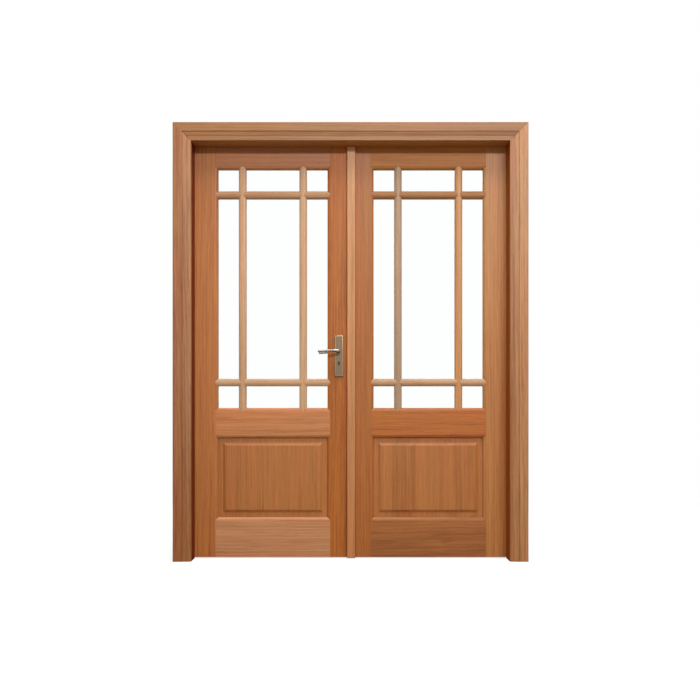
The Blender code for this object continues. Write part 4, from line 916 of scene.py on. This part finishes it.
@dataclass
class Lever:
    """One lever: a round neck that bends into a flattened, almost level grip."""

    outward: int = -1
    reach: float = 0.102
    projection: float = 0.050
    droop: float = 0.003
    neck: float = 0.0085  # radius
    bend: float = 0.014
    root: float = 0.010  # grip's height at the bend
    height: float = 0.0125  # grip's height at its tip
    depth: float = 0.010
    end: float = 0.003
    closing: tuple[int, ...] = (18, 34, 50, 64, 75, 83)  # turns of the tip's sections, in degrees
    squareness: float = 0.22  # taken off the outline's power on the grip
    foot: float = 0.001  # from the leaf's face to the neck's inner end
    blend: float = 0.35  # share of the grip over which the round neck goes on flattening
    highlight_start: float = 0.006  # from the axis to where the painted highlight starts to fade
    fade: float = 0.014  # length over which it fades
    stations: int = 30
    places: int = 40

    def rings(self, axis: Vector, face_y: float) -> np.ndarray:
        """Sections from the neck's inner end to the tip.

        Each section is an ellipse-like curve in a plane that turns from facing out of the leaf to
        facing along it. Its outline is cos and sin raised to a power below 1, which squares it
        a little on the grip. The bend is a quarter circle. The round neck flattens as a smooth
        step that starts with the bend and ends part of the way along the grip, and the grip's
        outer face stays in one plane. The droop grows with the square of the way along, and the
        tip closes with the cosine of a turn.

        Args:
            axis: where the lever's axis meets the leaf's middle.
            face_y: the leaf's face.

        Returns:
            Sections x places x 3.
        """
        out = self.outward
        grip_y = face_y + out * self.projection
        bend_y = grip_y - out * (self.bend + self.neck / 2)
        bend_end, last = 2 * self.stations // 3, self.reach - self.end
        neck = np.linspace(0, 1, 6)[:-1]
        bent = np.linspace(0, 1, bend_end)
        grip = np.linspace(0, 1, self.stations)[1:]
        tip = np.radians(self.closing)
        straight, ends = np.zeros(len(neck)), np.ones(len(tip))
        turn = bent * np.pi / 2

        bend_x, grip_x = self.bend * (1 - np.cos(turn)), self.bend + (last - self.bend) * grip
        along = np.r_[straight, bend_x, grip_x, last + self.end * np.sin(tip)]
        start = face_y + out * self.foot
        neck_y = start + (bend_y - start) * neck
        turned_y = grip_y + out * self.bend * (np.sin(turn) - 1)
        y = np.r_[neck_y, turned_y, grip_y + 0 * grip, grip_y * ends]
        lean = np.r_[straight, turn, np.pi / 2 + 0 * grip, np.pi / 2 * ends]
        down = np.r_[straight, 0 * bent, self.droop * grip**2, self.droop * ends]
        late = np.minimum(0.5 + grip / (2 * self.blend), 1)
        taper = np.r_[straight, 0.5 * bent, late, ends]
        flat = rise(taper)
        swell = np.r_[straight, 0 * bent, grip, ends]
        close = np.r_[straight + 1, 0 * bent + 1, 0 * grip + 1, np.cos(tip)]
        half = (self.root + (self.height - self.root) * swell) / 2
        tall = (self.neck + (half - self.neck) * flat) * close
        deep = (self.neck + (self.depth / 2 - self.neck) * flat) * close
        y = y - out * np.maximum(deep - self.depth / 2, 0) * np.sin(lean)

        rows = (along, y, lean, down, flat, tall, deep)
        along, y, lean, down, flat, tall, deep = (row[:, None] for row in rows)
        unit = circle(self.places)
        power = 1 - self.squareness * flat
        across = np.sign(unit[:, 0]) * np.abs(unit[:, 0]) ** power * deep
        up = np.sign(unit[:, 1]) * np.abs(unit[:, 1]) ** power * tall
        x = axis.x - (along + across * np.cos(lean))
        return np.stack([x, y - out * across * np.sin(lean), axis.z - down + up], axis=-1)

    def build(self, node: str, axis: Vector, face_y: float) -> None:
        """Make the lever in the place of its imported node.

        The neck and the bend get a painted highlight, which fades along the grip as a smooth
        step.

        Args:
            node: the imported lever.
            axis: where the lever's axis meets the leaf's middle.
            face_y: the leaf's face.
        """
        rings = self.rings(axis, face_y)
        piece = Skin().tube(rings).object(f"{node}_polished")
        # painted highlight on the neck and the bend, fading along the grip
        away = np.clip((axis.x - poled(rings)[:, 0] - self.highlight_start) / self.fade, 0, 1)
        bright = piece.data.attributes.new("arris", "FLOAT", "POINT")
        bright.data.foreach_set("value", (1 - rise(away)).astype(np.float32))
        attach(piece, BODY_OF[node])
        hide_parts(node)
        LEVER_NICKEL.dress(piece)


@dataclass
class Furniture:
    """Lock, plates and levers on the active leaf, strike and bolts on the passive one."""

    arris: float = 0.0004
    inset: float = 0.010  # a plate's end to its screw
    hub_arm: float = 0.016  # spindle's top, which is its hub's arm, to the lever's axis
    key_drop: float = 0.077  # spindle's top to the middle of the ward plate
    ward_depth: float = 0.0055  # ward plate's middle, in front of the lock's
    ward_half: Pair = (0.0095, 0.0125)  # half its width and half its height
    ward_half_thickness: float = 0.0004
    ward_power: float = 0.4  # of its outline's cos and sin
    ward_ease: float = 0.04  # share of its size that the rounding takes

    def metal(
        self, node: str, finish: MetalFinish, sharp: float = 35.0, rim: bool = False
    ) -> None:
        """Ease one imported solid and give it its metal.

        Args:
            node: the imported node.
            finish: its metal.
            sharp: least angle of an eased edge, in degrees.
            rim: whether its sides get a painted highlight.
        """
        piece = eased_copy(node, self.arris, sharp, smooth=not rim, rim=rim)
        finish.dress(piece)

    def ward(self) -> None:
        """Plate inside the lock, close behind the front keyhole, that hides its works.

        Its outline is a rounded oblong, from cos and sin raised to a power below 1, and its rim
        is rounded over in five sections.
        """
        hub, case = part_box("spindle"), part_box("lock_case")
        depth = (case[0].y + case[1].y) / 2 - self.ward_depth
        middle = Vector(((hub[0].x + hub[1].x) / 2, depth, hub[1].z - self.key_drop))
        unit = circle(32)
        outline = np.sign(unit) * np.abs(unit) ** self.ward_power * self.ward_half
        lean = np.radians([-90, -45, 0, 45, 90])
        scale = 1 - self.ward_ease + self.ward_ease * np.cos(lean)
        x, z = (scale[:, None] * outline[:, axis] for axis in (0, 1))
        y = self.ward_half_thickness * np.sin(lean)[:, None] + 0 * x
        piece = Skin().tube(np.stack([x, y, z], -1) + np.array(middle)).object("key_ward")
        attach(piece, BODY_OF["lock_case"])
        BLUED_STEEL.dress(piece)

    def plate_screws(self) -> None:
        """Drive a screw near each end of the faceplate, strike, bolt cases and keeper."""
        screws = Screws()
        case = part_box("lock_case")
        middle = case[0].y / 2 + case[1].y / 2
        for node in EDGE_PLATES:
            low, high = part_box(node)
            right = node == "lock_case"
            face = high.x if right else low.x
            spots = [Vector((face, middle, z)) for z in (low.z + self.inset, high.z - self.inset)]
            screws.drive(node, spots, Vector((1 if right else -1, 0, 0)))
        low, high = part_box("bolt_keeper")
        middle = (low.y + high.y) / 2
        reach = self.inset / 2
        spots = [Vector((x, middle, low.z)) for x in (low.x + reach, high.x - reach)]
        Screws(radius=0.003, arm=0.0016).drive("bolt_keeper", spots, Vector((0, 0, -1)))

    def build(self) -> None:
        """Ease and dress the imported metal, model the levers and drive the screws."""
        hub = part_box("spindle")
        axis = Vector(((hub[0].x + hub[1].x) / 2, 0.0, hub[1].z - self.hub_arm))
        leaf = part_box("left_hinge_stile")
        Lever(outward=-1).build("front_lever", axis, leaf[0].y)
        Lever(outward=1).build("rear_lever", axis, leaf[1].y)
        # plates with a painted highlight on their sides and border
        for node in ("front_plate", "rear_plate"):
            self.metal(node, SATIN_NICKEL, 20.0, rim=True)
        self.metal("latch_bolt", STEEL)
        for node in ("dead_bolt", "top_bolt_rod", "bottom_bolt_rod"):
            self.metal(node, BRASS)
        for node in (*EDGE_PLATES, "bolt_keeper", "spindle"):
            STEEL.dress(frame["nodes"][node])
        self.ward()
        self.plate_screws()


@dataclass
class Hinges:
    """Six butt hinges, each in two halves that turn on one pin, with four screws in each half."""

    arris: float = 0.0003
    clearance: float = 0.003  # leaf's edge to the rebate
    pitch: float = 0.024  # between neighbouring screws
    stagger: Pair = (0.011, 0.022)  # screw rows, from the plate's buried edge

    def build(self) -> None:
        """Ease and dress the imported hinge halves, then drive their screws."""
        screws = Screws()
        for side in SIDES:
            for half in ("frame", "leaf"):
                for place in ("top", "middle", "bottom"):
                    node = f"{side}_{half}_hinge_{place}"
                    piece = eased_copy(node, self.arris, smooth=True)
                    STEEL.dress(piece)
                    screws.drive(node, *self.holes(side, half, place))

    def holes(self, side: str, half: str, place: str) -> tuple[list[Vector], Vector]:
        """Middles of one half's screws, in two staggered rows, and the normal of their face.

        The leaf half's face is flush with the leaf's edge, and the frame half's is flush with the
        rebate, the leaf's clearance away.

        Args:
            side: left or right.
            half: frame or leaf.
            place: top, middle or bottom.

        Returns:
            The middles and the normal.
        """
        low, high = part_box(f"{side}_{half}_hinge_{place}")
        outward, edge = (-1.0, 0) if side == "left" else (1.0, 1)
        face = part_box(f"{side}_hinge_stile")[edge].x
        if half == "frame":
            face, outward = face + outward * self.clearance, -outward
        middle = (low.z + high.z) / 2
        rows = [low.y + self.stagger[k % 2] for k in range(4)]
        spots = [Vector((face, rows[k], middle + (k - 1.5) * self.pitch)) for k in range(4)]
        return spots, Vector((outward, 0, 0))


@dataclass
class CoverStrip(Joinery):
    """The strip on the passive leaf that laps the active one."""

    def build(self) -> None:
        """Finish the strip."""
        self.finish("cover_strip", STRIP, "strip_wood")


@dataclass(frozen=True)
class Lamp:
    """A soft oblong lamp."""

    name: str
    place: Triple
    size: Pair  # width and height
    power: float  # in watts
    seen: bool = True  # whether it shows itself, directly or through the panes

    def hang(self, aim: Triple) -> None:
        """Hang the lamp.

        Args:
            aim: the point it faces.
        """
        data = bpy.data.lights.new(self.name, "AREA")
        data.shape, data.energy = "RECTANGLE", self.power
        data.size, data.size_y = self.size
        lamp = placed(self.name, data)
        lamp.location = self.place
        lamp.visible_camera = lamp.visible_transmission = self.seen
        towards = Vector(aim) - Vector(self.place)
        lamp.rotation_euler = towards.to_track_quat("-Z", "Y").to_euler()


@dataclass
class Studio:
    """Camera, pale floor, white surroundings and soft lamps."""

    eye: Triple = (0.0, -4.247, 0.72)
    lens: float = 44.69
    rise: float = 0.0871  # camera's shift up, as a share of the picture
    aside: float = -0.0008
    ambient: float = 0.44
    lamps: tuple[Lamp, ...] = (
        Lamp("key", (2.0, -8.0, 4.62), (4.2, 0.5), 346.0),
        Lamp("top", (0.3, -1.3, 5.2), (2.5, 2.5), 165.0),
        Lamp("rear", (-2.0, 7.0, 4.6), (4.0, 1.0), 200.0, seen=False),
    )
    aim: Triple = (0.0, 0.0, 1.05)  # what every lamp faces
    floor_reach: float = 40.0
    floor_drop: float = 0.0005  # below the jambs' feet
    glow: float = 0.62  # of the floor that is seen near the doors
    shown: Pair = (1.2, 4.0)  # radii over which it turns plain white
    bounce: Colour = (0.20, 0.18, 0.16)  # of the floor that the doors' light falls on
    hidden: Pair = (1.0, 5.0)  # radii over which that turns as bright as the surroundings

    def camera(self) -> None:
        """Set the camera level in front of the doors, with a shift in place of a tilt."""
        data = bpy.data.cameras.new("camera")
        data.lens, data.sensor_width = self.lens, 36.0
        data.shift_x, data.shift_y = self.aside, self.rise
        data.clip_start, data.clip_end = 0.05, 200.0
        camera = placed("camera", data)
        camera.location = self.eye
        camera.rotation_euler = (math.pi / 2, 0.0, 0.0)
        bpy.context.scene.camera = camera

    def surroundings(self) -> None:
        """White where it is seen, and a soft even light on the doors."""
        graph = Graph(bpy.data.worlds.new("studio"))
        light = graph.fed("Background", Color=(1.0, 0.98, 0.96), Strength=self.ambient)
        white = graph.fed("Background", Color=(1.0, 1.0, 1.0), Strength=1.0)
        shown = graph.seen("Is Glossy Ray", "Is Transmission Ray")
        bpy.context.scene.world = graph.end(graph.either(shown, light, white), "OutputWorld")

    def floor(self) -> None:
        """Pale floor that keeps the doors' shadow near them and runs out into plain white."""
        mesh = bpy.data.meshes.new("floor")
        reach = self.floor_reach
        turns = ((-1, -1), (1, -1), (1, 1), (-1, 1))
        corners = [(reach * x, reach * y, -self.floor_drop) for x, y in turns]
        mesh.from_pydata(corners, [], [(0, 1, 2, 3)])
        floor = placed("floor", mesh)
        graph = Graph.of("pale_floor")
        grit = graph.noise(graph.place(), (40.0, 40.0, 40.0), 3.0)
        pale = graph.mix(grit, (0.50, 0.50, 0.50), (0.53, 0.53, 0.53))
        lit = graph.fed("BsdfDiffuse", Color=pale)
        glow = graph.fed("Emission", Strength=self.glow)
        near = graph.wired("AddShader", (lit.outputs[0], glow.outputs[0]))
        away = graph.vector("LENGTH", graph.place())
        shown = graph.either(graph.span(away, *self.shown), near, graph.node("Emission"))
        bounce = graph.fed("BsdfDiffuse", Color=self.bounce)
        sweep = graph.fed("Emission", Strength=self.ambient)
        hidden = graph.either(graph.span(away, *self.hidden), bounce, sweep)
        wear(floor, graph.end(graph.either(graph.seen("Is Transmission Ray"), hidden, shown)))

    def build(self) -> None:
        """Set up the whole studio."""
        bpy.context.scene.view_settings.view_transform = "Standard"
        self.camera()
        self.surroundings()
        self.floor()
        for lamp in self.lamps:
            lamp.hang(self.aim)


def main() -> None:
    """Build every sub-assembly and the studio, in order."""
    logging.basicConfig(level=logging.INFO, format="%(name)s %(message)s")
    leaves = [Leaf(side=side) for side in SIDES]
    parts: Iterable[Any] = (Casing(), *leaves, CoverStrip(), Furniture(), Hinges(), Studio())
    for part in parts:
        part.build()
        REPORT.info("%s done", type(part).__name__)


if __name__ == "__main__":
    main()
